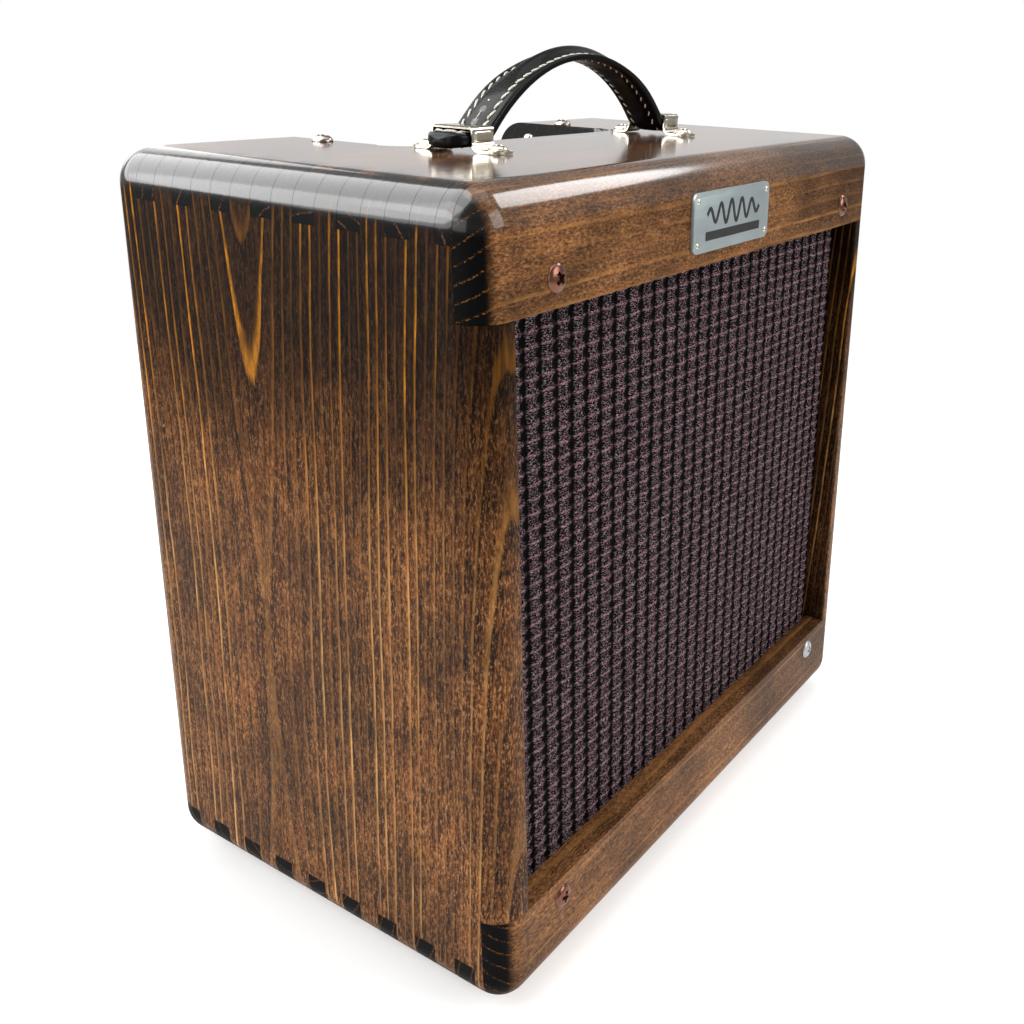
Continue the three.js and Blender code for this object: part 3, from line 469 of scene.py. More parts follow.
    # painted shade: the rounded top edge turns near-black where it curves away from the top
    rim = s.times(pooled_and_shaded, s.spread(s.maths("ABSOLUTE", facing[2]), 0.99, 0.94, 0.0, edge_shade))
    thin = s.times(s.spread(phase, 0.84, 0.93), s.spread(phase, 1.0, 0.95))
    thin = s.times(thin, s.times(s.spread(dash, 0.46, 0.6), 0.55))
    end_wood = s.blend(thin, colour("040303"), colour("a0662a"))
    s.link(s.blend(rim, s.blend(end, wood, end_wood), colour("070504")), "Base Color")
    s.link(s.spread(fibre, 0.2, 0.8, 0.4, 0.6), "Roughness")
    s.bump(s.maths("MULTIPLY_ADD", late, 0.3, fibre), 0.3, 0.3)
    lacquer = s.noise(s.stretched(grain, 1.0, 0.3, 0.3), 0.8, detail=3.0)
    ripple = s.node("ShaderNodeBump", {"Height": lacquer, "Strength": 0.12, "Distance": 0.3 * MM})
    s.link(ripple, "Coat Normal")
    thinning = s.maths("MAXIMUM", s.spread(z, *SIDE_THINNING), end)
    thinner = s.spread(thinning, 0.0, 1.0, gloss, 0.1 * gloss)
    s.link(s.maths("MAXIMUM", pooled_and_shaded, thinner), "Coat Weight")
    return s.material


def brushed_metal(name, tint, roughness, grain=0.25, worn="3b332c"):
    """Plated or bare metal with fine scratches, slight tarnish and a little uneven polish."""
    s = Surface(name, Metallic=1.0)
    point = s.millimetres()
    tarnish = s.noise(point, 0.22, detail=4.0, roughness=0.6)
    scratch = s.noise(s.stretched(point, 0.4, 3.0, 3.0), 1.2, detail=3.0, roughness=0.7)
    s.link(s.blend(s.spread(tarnish, 0.55, 0.85, 0.0, 0.4), colour(tint), colour(worn)), "Base Color")
    smoothest, roughest = roughness * (1 - grain), roughness * (1 + grain) + 0.08
    s.link(s.spread(scratch, 0.25, 0.8, smoothest, roughest), "Roughness")
    s.bump(scratch, 0.04, 0.02)
    return s.material


def moulded(name, tint, roughness, scale=2.4, strength=0.12, **shader):
    """Moulded plastic, rubber, paint or varnished board: a fine pebble and faint dust marks."""
    s = Surface(name, **shader)
    point = s.millimetres()
    grit = s.noise(point, scale, detail=4.0, roughness=0.6)
    dust = s.noise(point, 0.12, detail=5.0, roughness=0.65)
    light = [min(1.0, c * 1.5 + 0.012) for c in colour(tint)[:3]]
    s.link(s.blend(s.spread(dust, 0.45, 0.8, 0.0, 0.6), colour(tint), (*light, 1)), "Base Color")
    s.link(s.spread(grit, 0.3, 0.7, roughness - 0.06, roughness + 0.08), "Roughness")
    s.bump(grit, strength, 0.12)
    return s.material


def black_leather():
    """Black bridle leather: small pebbled cells, soft wear and a waxed sheen."""
    s = Surface("black_leather", Coat_Weight=0.16, Coat_Roughness=0.12, Specular_IOR_Level=0.05)
    point = s.millimetres()
    cells = s.node("ShaderNodeTexVoronoi", {"Vector": point, "Scale": 1.5}, feature="DISTANCE_TO_EDGE")
    crease = s.noise(s.stretched(point, 1.0, 0.35, 1.0), 0.7, detail=5.0, roughness=0.65)
    wear = s.noise(point, 0.09, detail=4.0)
    s.link(s.blend(s.spread(wear, 0.4, 0.75), colour("020304"), colour("090c0f")), "Base Color")
    s.link(s.spread(crease, 0.3, 0.7, 0.34, 0.48), "Roughness")
    height = s.maths("MULTIPLY_ADD", s.spread(cells, 0.0, 0.12), 0.5, crease)
    s.bump(height, 0.16, 0.1)
    return s.material


def waxed_thread():
    """Off-white waxed thread with a two-ply twist."""
    s = Surface("waxed_thread", Specular_IOR_Level=0.3)
    point = s.millimetres()
    x, y, z = s.split(point)
    lay = s.maths("ADD", s.times(x, 5.0), s.times(y, 7.0))
    twist = s.maths("SINE", s.maths("ADD", lay, z))
    s.link(s.blend(s.spread(twist, -1.0, 1.0), colour("cfc9bb"), colour("f7f3ea")), "Base Color")
    s.link(s.spread(s.noise(point, 2.0), 0.0, 1.0, 0.6, 0.8), "Roughness")
    s.bump(twist, 0.3, 0.15)
    return s.material


RIB_PITCH = 10.2
ROW_PITCH = 5.6
CLOTH_NEAR = 11.35                # the cloth's crests and its backing, behind the front plane
CLOTH_FAR = 12.3


def ribbed_cloth():
    """Woven cloth: ribs of knotted mauve and grey threads, with an eyelet beside each knot, painted
    black as shade.
    """
    s = Surface("ribbed_cloth", Specular_IOR_Level=0.03)
    point = s.millimetres()
    x, y, z = s.split(point)
    rise = s.maths("MULTIPLY_ADD", y, math.sin(LEAN), s.times(z, math.cos(LEAN)))
    stray = s.maths("SUBTRACT", s.noise(point, 0.35, detail=3.0), 0.5)
    u = s.maths("DIVIDE", s.maths("MULTIPLY_ADD", stray, 1.4, x), RIB_PITCH)
    cell = s.maths("FRACT", u)
    row = s.maths("FRACT", s.maths("DIVIDE", s.maths("MULTIPLY_ADD", stray, 1.6, rise), ROW_PITCH))
    flat = s.join(s.times(x, 0.6), 0.0, s.times(rise, 1.7))
    ply = s.noise(flat, 1.25, detail=3.0, roughness=0.75, distortion=0.5)
    rib = s.times(s.spread(cell, 0.0, 0.1), s.spread(cell, 0.86, 0.7))
    level = s.times(s.spread(row, 0.06, 0.22), s.spread(row, 0.84, 0.66))
    eyelet = s.times(s.spread(cell, 0.56, 0.7), level)
    knot = s.times(s.spread(row, 0.74, 0.88), s.spread(row, 1.0, 0.93))
    knot = s.times(knot, s.spread(ply, 0.36, 0.56))
    lit = s.times(s.times(rib, s.spread(ply, 0.52, 0.6)), s.maths("SUBTRACT", 1.0, eyelet))
    yarn = s.noise(point, 0.8, detail=2.0)
    # painted highlight on the knots, brighter towards the left of each rib, over the knots' own pale
    # thread
    knot_lit = s.times(knot, s.spread(cell, 0.75, 0.4, 0.2, 0.85))
    knot_lit = s.times(knot_lit, s.spread(yarn, 0.35, 0.6, 0.35, 1.0))
    tint = s.blend(s.spread(yarn, 0.4, 0.62), colour("a1969a"), colour("9c7079"))
    # near-black painted shade in the gaps between ribs, in the eyelets and between the threads
    thread = s.blend(lit, colour("040304"), tint)
    thread = s.blend(s.times(knot_lit, s.maths("MAXIMUM", rib, 0.4)), thread, colour("b48c92"))
    s.link(thread, "Base Color")
    s.link(s.spread(ply, 0.0, 1.0, 0.7, 0.95), "Roughness")
    s.bump(s.maths("MULTIPLY_ADD", ply, 0.6, s.maths("ADD", lit, knot_lit)), 0.5, 0.4)
    return s.material


def plain_board(name, dark, light, along="X"):
    """Unstained plywood or strip wood with a straight, faint grain."""
    s = Surface(name, Specular_IOR_Level=0.3)
    point = s.millimetres()
    grain = s.stretched(point, *((0.05, 1.0, 1.0) if along == "X" else (1.0, 1.0, 0.05)))
    fibre = s.noise(grain, 0.8, detail=6.0, roughness=0.65)
    stain = s.noise(point, 0.02, detail=3.0)
    wood = s.blend(s.spread(fibre, 0.3, 0.7), colour(dark), colour(light))
    s.link(s.blend(s.spread(stain, 0.4, 0.8, 0.0, 0.4), wood, colour(dark)), "Base Color")
    s.link(s.spread(fibre, 0.0, 1.0, 0.6, 0.8), "Roughness")
    s.bump(fibre, 0.2, 0.3)
    return s.material


def enamelled_plate(name, tint):
    """Satin anodised sheet with a faint long brush."""
    s = Surface(name, Metallic=0.75)
    point = s.millimetres()
    brush = s.noise(s.stretched(point, 0.05, 4.0, 4.0), 1.0, detail=4.0, roughness=0.7)
    cloud = s.noise(point, 0.05, detail=3.0)
    tone = s.spread(s.maths("ADD", brush, cloud), 0.7, 1.3, 0.88, 1.08)
    s.link(s.blend(1.0, colour(tint), s.join(tone, tone, tone), "MULTIPLY"), "Base Color")
    s.link(s.spread(brush, 0.2, 0.8, 0.34, 0.5), "Roughness")
    s.bump(brush, 0.05, 0.05)
    return s.material


LEATHER = black_leather()
THREAD = waxed_thread()
NICKEL = brushed_metal("nickel_plate", "cfc8b8", 0.13, worn="7c705a")
STEEL = brushed_metal("bare_steel", "b3b6b8", 0.34)
BRONZE = brushed_metal("aged_bronze", "7a5446", 0.24, worn="45302a")
DARK_NICKEL = brushed_metal("dark_nickel", "8d837c", 0.22, worn="4a3f3a")
PLATE = enamelled_plate("satin_plate", "a4afb1")
INK = moulded("black_enamel", "060606", 0.42)
BLACK_PLASTIC = moulded("black_plastic", "0e0e0f", 0.32, Coat_Weight=0.2)
RUBBER_SOFT = moulded("black_rubber", "131312", 0.78, scale=1.2, strength=0.3)

# ------------------------------------------------------------------ cabinet


def envelope():
    """The cabinet's whole outer form: a box with a leaning front and every edge rounded over."""
    bm = bmesh.new()
    outline = [
        (front_y(UNDERSIDE), UNDERSIDE),
        (HALF_DEPTH, UNDERSIDE),
        (HALF_DEPTH, TOP),
        (front_y(TOP), TOP),
    ]
    prism(bm, outline, -HALF_WIDTH, HALF_WIDTH, axis="X")
    edges = list(bm.edges)
    bmesh.ops.bevel(bm, geom=edges, offset=EDGE_RADIUS, segments=14, profile=0.5, affect="EDGES")
    return bm


def notches(first_rear, count, edge, depth, margin):
    """Points along an edge from front to rear, stepping in from edge to depth at every finger."""
    points = []
    for i in reversed(range(count)):
        rear = first_rear - 2 * FINGER * i
        near, far = rear - FINGER - margin, rear + margin
        points += [(near, edge), (near, depth), (far, depth), (far, edge)]
    return points


def rail_slab(bm, low, high, depth):
    """A slab just behind the leaning front, drawn in (y, z)."""
    outline = [
        (front_y(low) - PAST, low),
        (behind_front(low, depth), low),
        (behind_front(high, depth), high),
        (front_y(high) - PAST, high),
    ]
    return prism(bm, outline, -HALF_WIDTH - PAST, HALF_WIDTH + PAST, axis="X")


def rail_room():
    """The room that both rails take out of the other boards."""
    bm = bmesh.new()
    depth = RAIL_THICKNESS + JOINT_GAP
    rail_slab(bm, TOP_RAIL_BOTTOM - JOINT_GAP, TOP + PAST, depth)
    return rail_slab(bm, UNDERSIDE - PAST, BOTTOM_RAIL_TOP + JOINT_GAP, depth)


def on_front(point):
    return abs(point.y - front_y(point.z)) < 0.05


def side_board(side):
    low, high = UNDERSIDE - PAST, TOP + PAST
    bottom = notches(*BOTTOM_FINGERS, low, FLOOR_TOP + JOINT_GAP, JOINT_GAP / 2)
    top = notches(*TOP_FINGERS, high, CEILING - JOINT_GAP, JOINT_GAP / 2)
    front, rear = -HALF_DEPTH - PAST, HALF_DEPTH + PAST
    outline = [(front, low), *bottom, (rear, low), (rear, high), *reversed(top), (front, high)]
    across = sorted([side * SIDE_INNER, side * (HALF_WIDTH + PAST)])
    bm = prism(bmesh.new(), outline, *across, axis="X")
    bm = combine(bm, rail_room())
    bm = combine(bm, envelope(), "INTERSECT")
    return soften(bm, lambda p: abs(p.x - side * SIDE_INNER) < 0.05 and on_front(p), 1.4)


def comb_plan(first_rear, count, front):
    """Plan of a level board with its fingers at both ends, less the part behind the rails."""
    inner = SIDE_INNER - JOINT_GAP
    outer = HALF_WIDTH + PAST
    ends = notches(first_rear, count, inner, outer, -JOINT_GAP / 2)
    right = [(x, y) for y, x in ends]
    left = [(-x, y) for y, x in reversed(ends)]
    rear = HALF_DEPTH + PAST
    return [(inner, front), *right, (inner, rear), (-inner, rear), *left, (-inner, front)]


NOTCH_HALF, NOTCH_FRONT, NOTCH_RADIUS = 84.0, 25.0, 14.0


def top_board():
    plan = comb_plan(*TOP_FINGERS, -HALF_DEPTH - PAST)
    bm = combine(prism(bmesh.new(), plan, CEILING, TOP + PAST), rail_room())
    rear = HALF_DEPTH + 3 * PAST
    half_depth = (rear - NOTCH_FRONT) / 2
    centre = (0, NOTCH_FRONT + half_depth)
    opening = rounded_rectangle(NOTCH_HALF, half_depth, NOTCH_RADIUS, centre, steps=12)
    bm = combine(bm, prism(bmesh.new(), opening, CEILING - PAST, TOP + 2 * PAST))
    bm = combine(bm, envelope(), "INTERSECT")

    def notch_rim(p):
        inside = abs(p.x) < NOTCH_HALF + 0.1 and NOTCH_FRONT - 0.1 < p.y < HALF_DEPTH - EDGE_RADIUS
        return inside and (abs(p.z - TOP) < 0.05 or abs(p.z - CEILING) < 0.05)

    return soften(bm, notch_rim, 2.2, steps=4)


def bottom_board():
    plan = comb_plan(*BOTTOM_FINGERS, -HALF_DEPTH - PAST)
    bm = combine(prism(bmesh.new(), plan, UNDERSIDE - PAST, FLOOR_TOP), rail_room())
    return combine(bm, envelope(), "INTERSECT")


def rail(low, high, opening_edge):
    bm = rail_slab(bmesh.new(), low, high, RAIL_THICKNESS)
    bm = combine(bm, envelope(), "INTERSECT")
    return soften(bm, lambda p: abs(p.z - opening_edge) < 0.05 and on_front(p), 1.3)


PITH_INSET = 31.6                 # from a side's outer face in to the heart of its tree


def make_cabinet():
    outer = -HALF_WIDTH + PITH_INSET
    side_grain = dict(along="Z", spacing=6.9, oval=1.65, curve=0.0236, centre=128.0)
    left_wood = stained_pine("pine_left_side", pith=(24.0, outer), seed=2.2, **side_grain)
    right_wood = stained_pine("pine_right_side", pith=(-8.0, -outer), seed=17.0, **side_grain)
    level = dict(along="X", spacing=6.5, gold=0.35)
    top_wood = stained_pine("pine_top", pith=(-12.0, TOP - 46), curve=0.012, seed=31.0, **level)
    bottom_wood = stained_pine("pine_bottom", pith=(20.0, UNDERSIDE + 40), seed=43.0, tone=0.9, **level)
    rail_grain = dict(along="X", spacing=5.4, gold=0.5, wash=0.45, gloss=0.12, fade=0.55, edge_shade=0.2)
    top_rail = stained_pine("pine_top_rail", pith=(-30.0, TOP + 42), seed=57.0, **rail_grain)
    low_rail = stained_pine("pine_bottom_rail", pith=(-35.0, UNDERSIDE - 60), seed=71.0, **rail_grain)
    boards = [
        ("left_side", side_board(-1), left_wood),
        ("right_side", side_board(1), right_wood),
        ("top_board", top_board(), top_wood),
        ("bottom_board", bottom_board(), bottom_wood),
        ("front_top_rail", rail(TOP_RAIL_BOTTOM, TOP + PAST, TOP_RAIL_BOTTOM), top_rail),
        ("front_bottom_rail", rail(UNDERSIDE - PAST, BOTTOM_RAIL_TOP, BOTTOM_RAIL_TOP), low_rail),
    ]
    for node, bm, wood in boards:
        piece(f"{node}_wood", bm, wood, replaces=[node], weighted=True)


make_cabinet()

# ------------------------------------------------------------------ grille cloth and badge


def make_grille():
    """The stretched cloth as one sheet whose ribs and cross threads stand in relief."""
    low, high = corners("grille_cloth")
    inverse = FRONT.inverted()
    bottom = (inverse @ Vector((0, low.y, low.z))).z
    top = (inverse @ Vector((0, high.y, high.z))).z
    columns, rows = 331, 262
    u = np.linspace(low.x, high.x, columns)
    v = np.linspace(bottom, top, rows)
    uu, vv = np.meshgrid(u, v)
    rise = vv + UNDERSIDE * math.cos(LEAN)
    cell = np.mod(uu / RIB_PITCH, 1.0)
    row = np.mod(rise / ROW_PITCH, 1.0)

    def hump(value, centre, half):
        return np.sqrt(np.clip(1 - ((value - centre) / half) ** 2, 0, 1))

    height = hump(cell, 0.43, 0.42) * (0.7 + 0.3 * hump(row, 0.88, 0.3))
    height -= 0.5 * hump(cell, 0.74, 0.16) * hump(row, 0.42, 0.36)
    height = np.clip(height, 0, 1)
    depth = CLOTH_FAR - (CLOTH_FAR - CLOTH_NEAR) * height
    points = np.stack([uu, depth, vv], -1).reshape(-1, 3)
    turn = np.array(FRONT)
    points = (points @ turn[:3, :3].T + turn[:3, 3]) * MM
    index = np.arange(columns * rows).reshape(rows, columns)
    around = (index[:-1, :-1], index[:-1, 1:], index[1:, 1:], index[1:, :-1])
    quads = np.stack(around, -1).reshape(-1, 4)
    mesh = bpy.data.meshes.new("grille_cloth_weave")
    mesh.from_pydata(points.tolist(), [], quads.tolist())
    mesh.polygons.foreach_set("use_smooth", [True] * len(mesh.polygons))
    mesh.materials.append(ribbed_cloth())
    cloth = bpy.data.objects.new("grille_cloth_weave", mesh)
    bpy.context.scene.collection.objects.link(cloth)
    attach(cloth, "cabinet")
    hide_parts("grille_cloth")


make_grille()

BADGE_THICKNESS = 1.5
NAIL_INSET = 3.2


def left_normals(line):
    """Unit normals on the left of a 2-D line, one at each of its points."""
    along = np.gradient(line, axis=0)
    along /= np.linalg.norm(along, axis=1)[:, None]
    return np.stack([-along[:, 1], along[:, 0]], 1)


def ribbon(points, half_width):
    """A closed outline around a line of 2-D points."""
    line = np.array(points)
    normal = left_normals(line) * half_width
    return [tuple(p) for p in np.concatenate([line + normal, (line - normal)[::-1]])]


def make_badge():
    """Satin plate with four nails, a plain wave and a bar, all generic."""
    low, high = corners("badge_plate")
    centre = FRONT.inverted() @ middle("badge_plate")
    half_width = (high.x - low.x) / 2
    half_height = 11.75
    place = FRONT @ shift(0, 0, centre.z)
    face = -BADGE_THICKNESS - 0.05
    plate = rounded_rectangle(half_width, half_height, 3.0)
    bm = prism(bmesh.new(), plate, face, -0.05, "Y", bevel=0.35)
    bar = rounded_rectangle(25.5, 1.75, 0.3, (0.5, -5.6))
    prism(bm, bar, face - 0.12, face + 0.2, "Y", material=1)
    steps = 150
    wave = []
    for i in range(steps + 1):
        x = -24 + 49 * i / steps
        swell = 0.45 + 0.55 * math.sin(math.pi * i / steps)
        wave.append((x, 2.6 + 4.4 * swell * math.sin(TAU * 5 * i / steps)))
    prism(bm, ribbon(wave, 0.85), face - 0.12, face + 0.2, "Y", material=1)
    for sx in (-1, 1):
        for sz in (-1, 1):
            spot = (sx * (half_width - NAIL_INSET), face, sz * (half_height - NAIL_INSET))
            dome = [(0, -0.4), (1.25, -0.4), (1.2, 0.15), (0.85, 0.5), (0.4, 0.62), (0, 0.65)]
            turn = Matrix.Translation(spot) @ about("X", 90)
            turned(bm, dome, 20, material=2, place=turn)
    piece("badge", bm, [PLATE, INK, NICKEL], replaces=["badge_plate"], place=place)


make_badge()

# ------------------------------------------------------------------ screws


def cross_head(radius, height, shank, length, recess=0.62, washer=0.0):
    """A dome-headed screw with a cross recess, its seat at z = 0 and pointing down."""
    bm = bmesh.new()
    turns = [math.radians(a) for a in range(8, 90, 8)]
    dome = [(radius * math.cos(a), height * math.sin(a)) for a in turns]
    profile = [(0, -length), (shank * 0.3, -length + 0.5), (shank, -length + 3.5), (shank, 0.05)]
    profile += [(radius * 0.97, 0.05), (radius, height * 0.08), *dome, (0, height)]
    turned(bm, profile, 40)
    for turn in (0, 90):
        slot_shape = bmesh.new()
        reach = radius * recess
        mouth = (height + 1, reach * 1.15, 0.17 * radius * 1.2)
        foot = (height * 0.12, reach * 0.45, 0.1 * radius)
        for level, half, wide in (mouth, foot):
            for sx, sy in ((-1, -1), (1, -1), (1, 1), (-1, 1)):
                slot_shape.verts.new((sx * half, sy * wide, level))
        bmesh.ops.convex_hull(slot_shape, input=slot_shape.verts)
        bmesh.ops.transform(slot_shape, matrix=about("Z", turn), verts=slot_shape.verts)
        bm = combine(bm, slot_shape)
    if washer:
        turned(bm, [(shank, 0), (washer, 0), (washer, 0.35), (radius * 0.9, 0.7), (shank, 0.7)], 40)
    return bm


def fit_screw(node, mesh_source, seat, turn, material):
    bm = mesh_source.copy()
    place = Matrix.Translation(seat) @ turn @ Matrix.Rotation(seat.x * 1.7 + seat.y, 4, "Z")
    piece(f"{node}_detail", bm, material, replaces=[node], place=place, smooth=35)


def make_screws():
    up = Matrix.Identity(4)
    forward = Matrix.Rotation(-LEAN, 4, "X") @ about("X", 90)
    backward = about("X", -90)
    front_kind = cross_head(5.2, 2.1, 1.9, 21)
    for place in ("top_left", "top_right", "bottom_left", "bottom_right"):
        node = f"front_screw_{place}"
        at = middle(node)
        metal = STEEL if place == "bottom_right" else BRONZE
        fit_screw(node, front_kind, Vector((at.x, front_y(at.z), at.z)), forward, metal)
    chassis_kind = cross_head(4.6, 2.8, 1.9, 29)
    for side in ("left", "right"):
        node = f"chassis_screw_{side}"
        at = middle(node)
        fit_screw(node, chassis_kind, Vector((at.x, at.y, TOP)), up, DARK_NICKEL)
    back_kind = cross_head(4.2, 2.0, 1.9, 17)
    panel_rear = corners("upper_back_panel")[1].y
    for level in ("upper", "lower"):
        for side in ("left", "right"):
            node = f"{level}_back_screw_{side}"
            at = middle(node)
            fit_screw(node, back_kind, Vector((at.x, panel_rear, at.z)), backward, NICKEL)
    handle_kind = cross_head(4.1, 2.3, 1.9, 16, washer=4.9)
    for side in ("left", "right"):
        for end in ("front", "rear"):
            node = f"handle_screw_{side}_{end}"
            at = middle(node)
            fit_screw(node, handle_kind, Vector((at.x, at.y, TOP + FLANGE_TOP)), up, NICKEL)


# ------------------------------------------------------------------ handle

CAP_PLATE = 0.9
FLANGE_TOP = 0.3 + CAP_PLATE
CAP_WALL = 9.9                    # middle of the bridge's side walls
CAP_REACH = 22.3
CAP_HALF = 6.9
CAP_CENTRE = 76.5                 # from the middle of the strap
TONGUE = 5.0                      # length of a flange's rounded end


def arc_line(points, step):
    """Evenly spaced points along a line of points."""
    line = np.array(points, float)
    gaps = np.linalg.norm(np.diff(line, axis=0), axis=1)
    distance = np.concatenate([[0], np.cumsum(gaps)])
    count = max(2, int(round(distance[-1] / step)) + 1)
    even = np.linspace(0, distance[-1], count)
    return even, np.stack([np.interp(even, distance, line[:, i]) for i in range(line.shape[1])], 1)


def handle_cap(centre_x):
    """Pressed bridge over the strap with raised panels, flaring out into two screw flanges."""
    crown = 9.6 - CAP_PLATE / 2
    foot = 0.3 + CAP_PLATE / 2
    half = [
        (CAP_REACH, foot),
        *arc((CAP_WALL + 3.4, foot + 3.4), 3.4, 270, 180, 10),
        *arc((CAP_WALL - 1.3, crown - 1.3), 1.3, 0, 90, 8),
    ]
    line = [*half, *[(-y, z) for y, z in reversed(half)]]
    distance, path = arc_line(line, 0.42)
    normal = left_normals(path)
    normal *= np.sign(normal[len(normal) // 2, 1])
    total = distance[-1]
    across = np.linspace(-1, 1, 34)

    def window(value, low, high, soft):
        rising = np.clip((value - low) / soft, 0, 1)
        falling = np.clip((high - value) / soft, 0, 1)
        return rising * rising * (3 - 2 * rising) * falling * falling * (3 - 2 * falling)

    rings = []
    for i, (y, z) in enumerate(path):
        end = min(distance[i], total - distance[i])
        reach = CAP_HALF
        if end < TONGUE:
            reach = CAP_HALF - TONGUE + math.sqrt(max(TONGUE**2 - (TONGUE - end) ** 2, 0.01))
        xs = centre_x + across * reach
        panel = window(abs(y), -1, 8.2, 0.8) * float(z > crown - 1)
        panel += window(z, 3.6, 8.0, 0.7) * float(abs(y) > CAP_WALL - 0.8)
        raise_by = 0.42 * panel * window(np.abs(across * CAP_HALF), -1, 5.5, 0.8)
        ny, nz = normal[i]
        lifts = CAP_PLATE / 2 + (raise_by - 0.3 * float(panel > 0))
        outer = [(x, y + ny * lift, z + nz * lift) for x, lift in zip(xs, lifts)]
        inner = [(x, y - ny * CAP_PLATE / 2, z - nz * CAP_PLATE / 2) for x in xs]
        rings.append([*outer, *reversed(inner)])
    return skin(bmesh.new(), rings)


STRAP_HALF_WIDTH = 9.0
ARCH_RADIUS = 95.1
ARCH_CENTRE = -59.1               # the arch's centre above the top board
TAB_HEIGHT = 4.7
LEFT_END, RIGHT_END = 92.0, 86.0
STITCH_ROW = 5.5                  # from the strap's middle line
STITCH_PITCH = 5.5
SLOT_NEAR, SLOT_FAR = 61.5, 67.5  # the keyhole slot's ends, from the middle of the strap
SPRING_NEAR = 62.5


def strap_line(end):
    """Middle line of half the strap as (distance from centre, height above the top board)."""
    points = [(x, ARCH_CENTRE + math.sqrt(ARCH_RADIUS**2 - x * x)) for x in np.arange(0, 63, 2.0)]
    points += [(65.0, 10.4), (67.6, 7.9), (69.7, 6.2), (71.8, 5.2)]
    points += [(74.2, TAB_HEIGHT + 0.1), (77.5, TAB_HEIGHT), (end, TAB_HEIGHT)]
    line = np.array(points)
    for _ in range(3):                       # corner cutting rounds the bend, and keeps both ends
        cut = np.empty((2 * len(line) - 2, 2))
        cut[0::2] = 0.75 * line[:-1] + 0.25 * line[1:]
        cut[1::2] = 0.25 * line[:-1] + 0.75 * line[1:]
        line = np.vstack([line[:1], cut, line[-1:]])
    return arc_line(line, 0.7)


class HalfStrap:
    """Half of the strap, from its crown out to one flat end, on the side given by sign."""

    def __init__(self, sign, end):
        self.sign = sign
        self.distance, self.path = strap_line(end)
        self.normal = left_normals(self.path)
        self.total = self.distance[-1]

    def thickness(self, s):
        """Half thickness; it grows at the padded end and rolls over at the very tip."""
        x = np.interp(s, self.distance, self.path[:, 0])
        half = np.interp(x, [0, 62, 72], [2.7, 2.7, 3.15])
        left = np.clip(self.total - s, 0, 3.2)
        return half * np.sqrt(np.clip(1 - ((3.2 - left) / 3.25) ** 2, 0, 1))

    def surface(self, s, t, face):
        """Height of the upper (1) or lower (-1) face from the middle surface at t across the strap.

        Over the arch the upper face is padded between its channels and lower along its rolled edges.
        """
        x = np.interp(s, self.distance, self.path[:, 0])
        soft = np.clip((58 - x) / 34, 0, 1)
        padded = soft * soft * (3 - 2 * soft) if face > 0 else 0.0
        thick = self.thickness(s)
        across = np.clip(abs(t) / (STITCH_ROW + 0.2), 0, 1)
        crown = 1.5 * padded * (np.cos(math.pi * across) - 0.55)
        channel = 0.5 * math.exp(-(((abs(t) - STITCH_ROW) / 0.75) ** 2))
        return thick + (crown - channel) * min(1.0, thick / 2)

    def half_width(self, s):
        left = np.clip(self.total - s, 0, 8)
        return STRAP_HALF_WIDTH - 8 + np.sqrt(np.clip(64 - (8 - left) ** 2, 0, 64))

    def place(self, s, t, lift):
        """The point at distance s along, t across and lift above the middle surface."""
        x, z, nx, nz = (np.interp(s, self.distance, column) for column in
                        (self.path[:, 0], self.path[:, 1], self.normal[:, 0], self.normal[:, 1]))
        return (self.sign * (x + nx * lift), t, TOP + z + nz * lift)

    def shell(self):
        """Rounded, rolled edges and a shallow channel under each row of stitches."""
        rings = []
        for s in self.distance:
            wide = self.half_width(s)
            ring = []
            for k in range(64):
                angle = TAU * k / 64
                c, q = math.cos(angle), math.sin(angle)
                t = wide * math.copysign(abs(c) ** 0.7, c)
                roll = abs(q) ** 0.45
                ring.append(self.place(s, t, math.copysign(self.surface(s, t, q) * roll, q)))
            rings.append(ring)
        return skin(bmesh.new(), rings)

    def row(self):
        """The stitch line as (s, t): out along one side, round the end and back."""
        turn = self.total - 3.6 - 4.4
        arc_points = [(turn + 4.4 * math.cos(a), STITCH_ROW - 4.4 + 4.4 * math.sin(a))
                      for a in np.linspace(math.pi / 2, 0, 8)]
        half = [(0.0, STITCH_ROW), *arc_points, (turn + 4.4, 0.0)]
        return [*half, *[(s, -t) for s, t in reversed(half[:-1])]]

    def stitches(self):
        bm = bmesh.new()
        distance, line = arc_line(self.row(), 0.1)
        count = int(distance[-1] // STITCH_PITCH)
        pitch = distance[-1] / count
        for face, radius, share in ((1, 0.5, 0.94), (-1, 0.32, 0.6)):
            for i in range(count):
                start = (i + 0.5 - share / 2) * pitch
                points, radii = [], []
                for k in range(7):
                    f = k / 6
                    at = start + f * share * pitch
                    s, t = (np.interp(at, distance, line[:, c]) for c in (0, 1))
                    slant = (f - 0.5) * 1.5 * face * self.sign
                    lift = self.surface(s, t, face) - 0.3 + 0.5 * math.sin(math.pi * f) ** 0.5
                    points.append(self.place(s, t + slant, face * lift))
                    radii.append(radius * (0.55 + 0.45 * math.sin(math.pi * f) ** 0.5))
                tube(bm, points, radii, sides=8)
        return bm


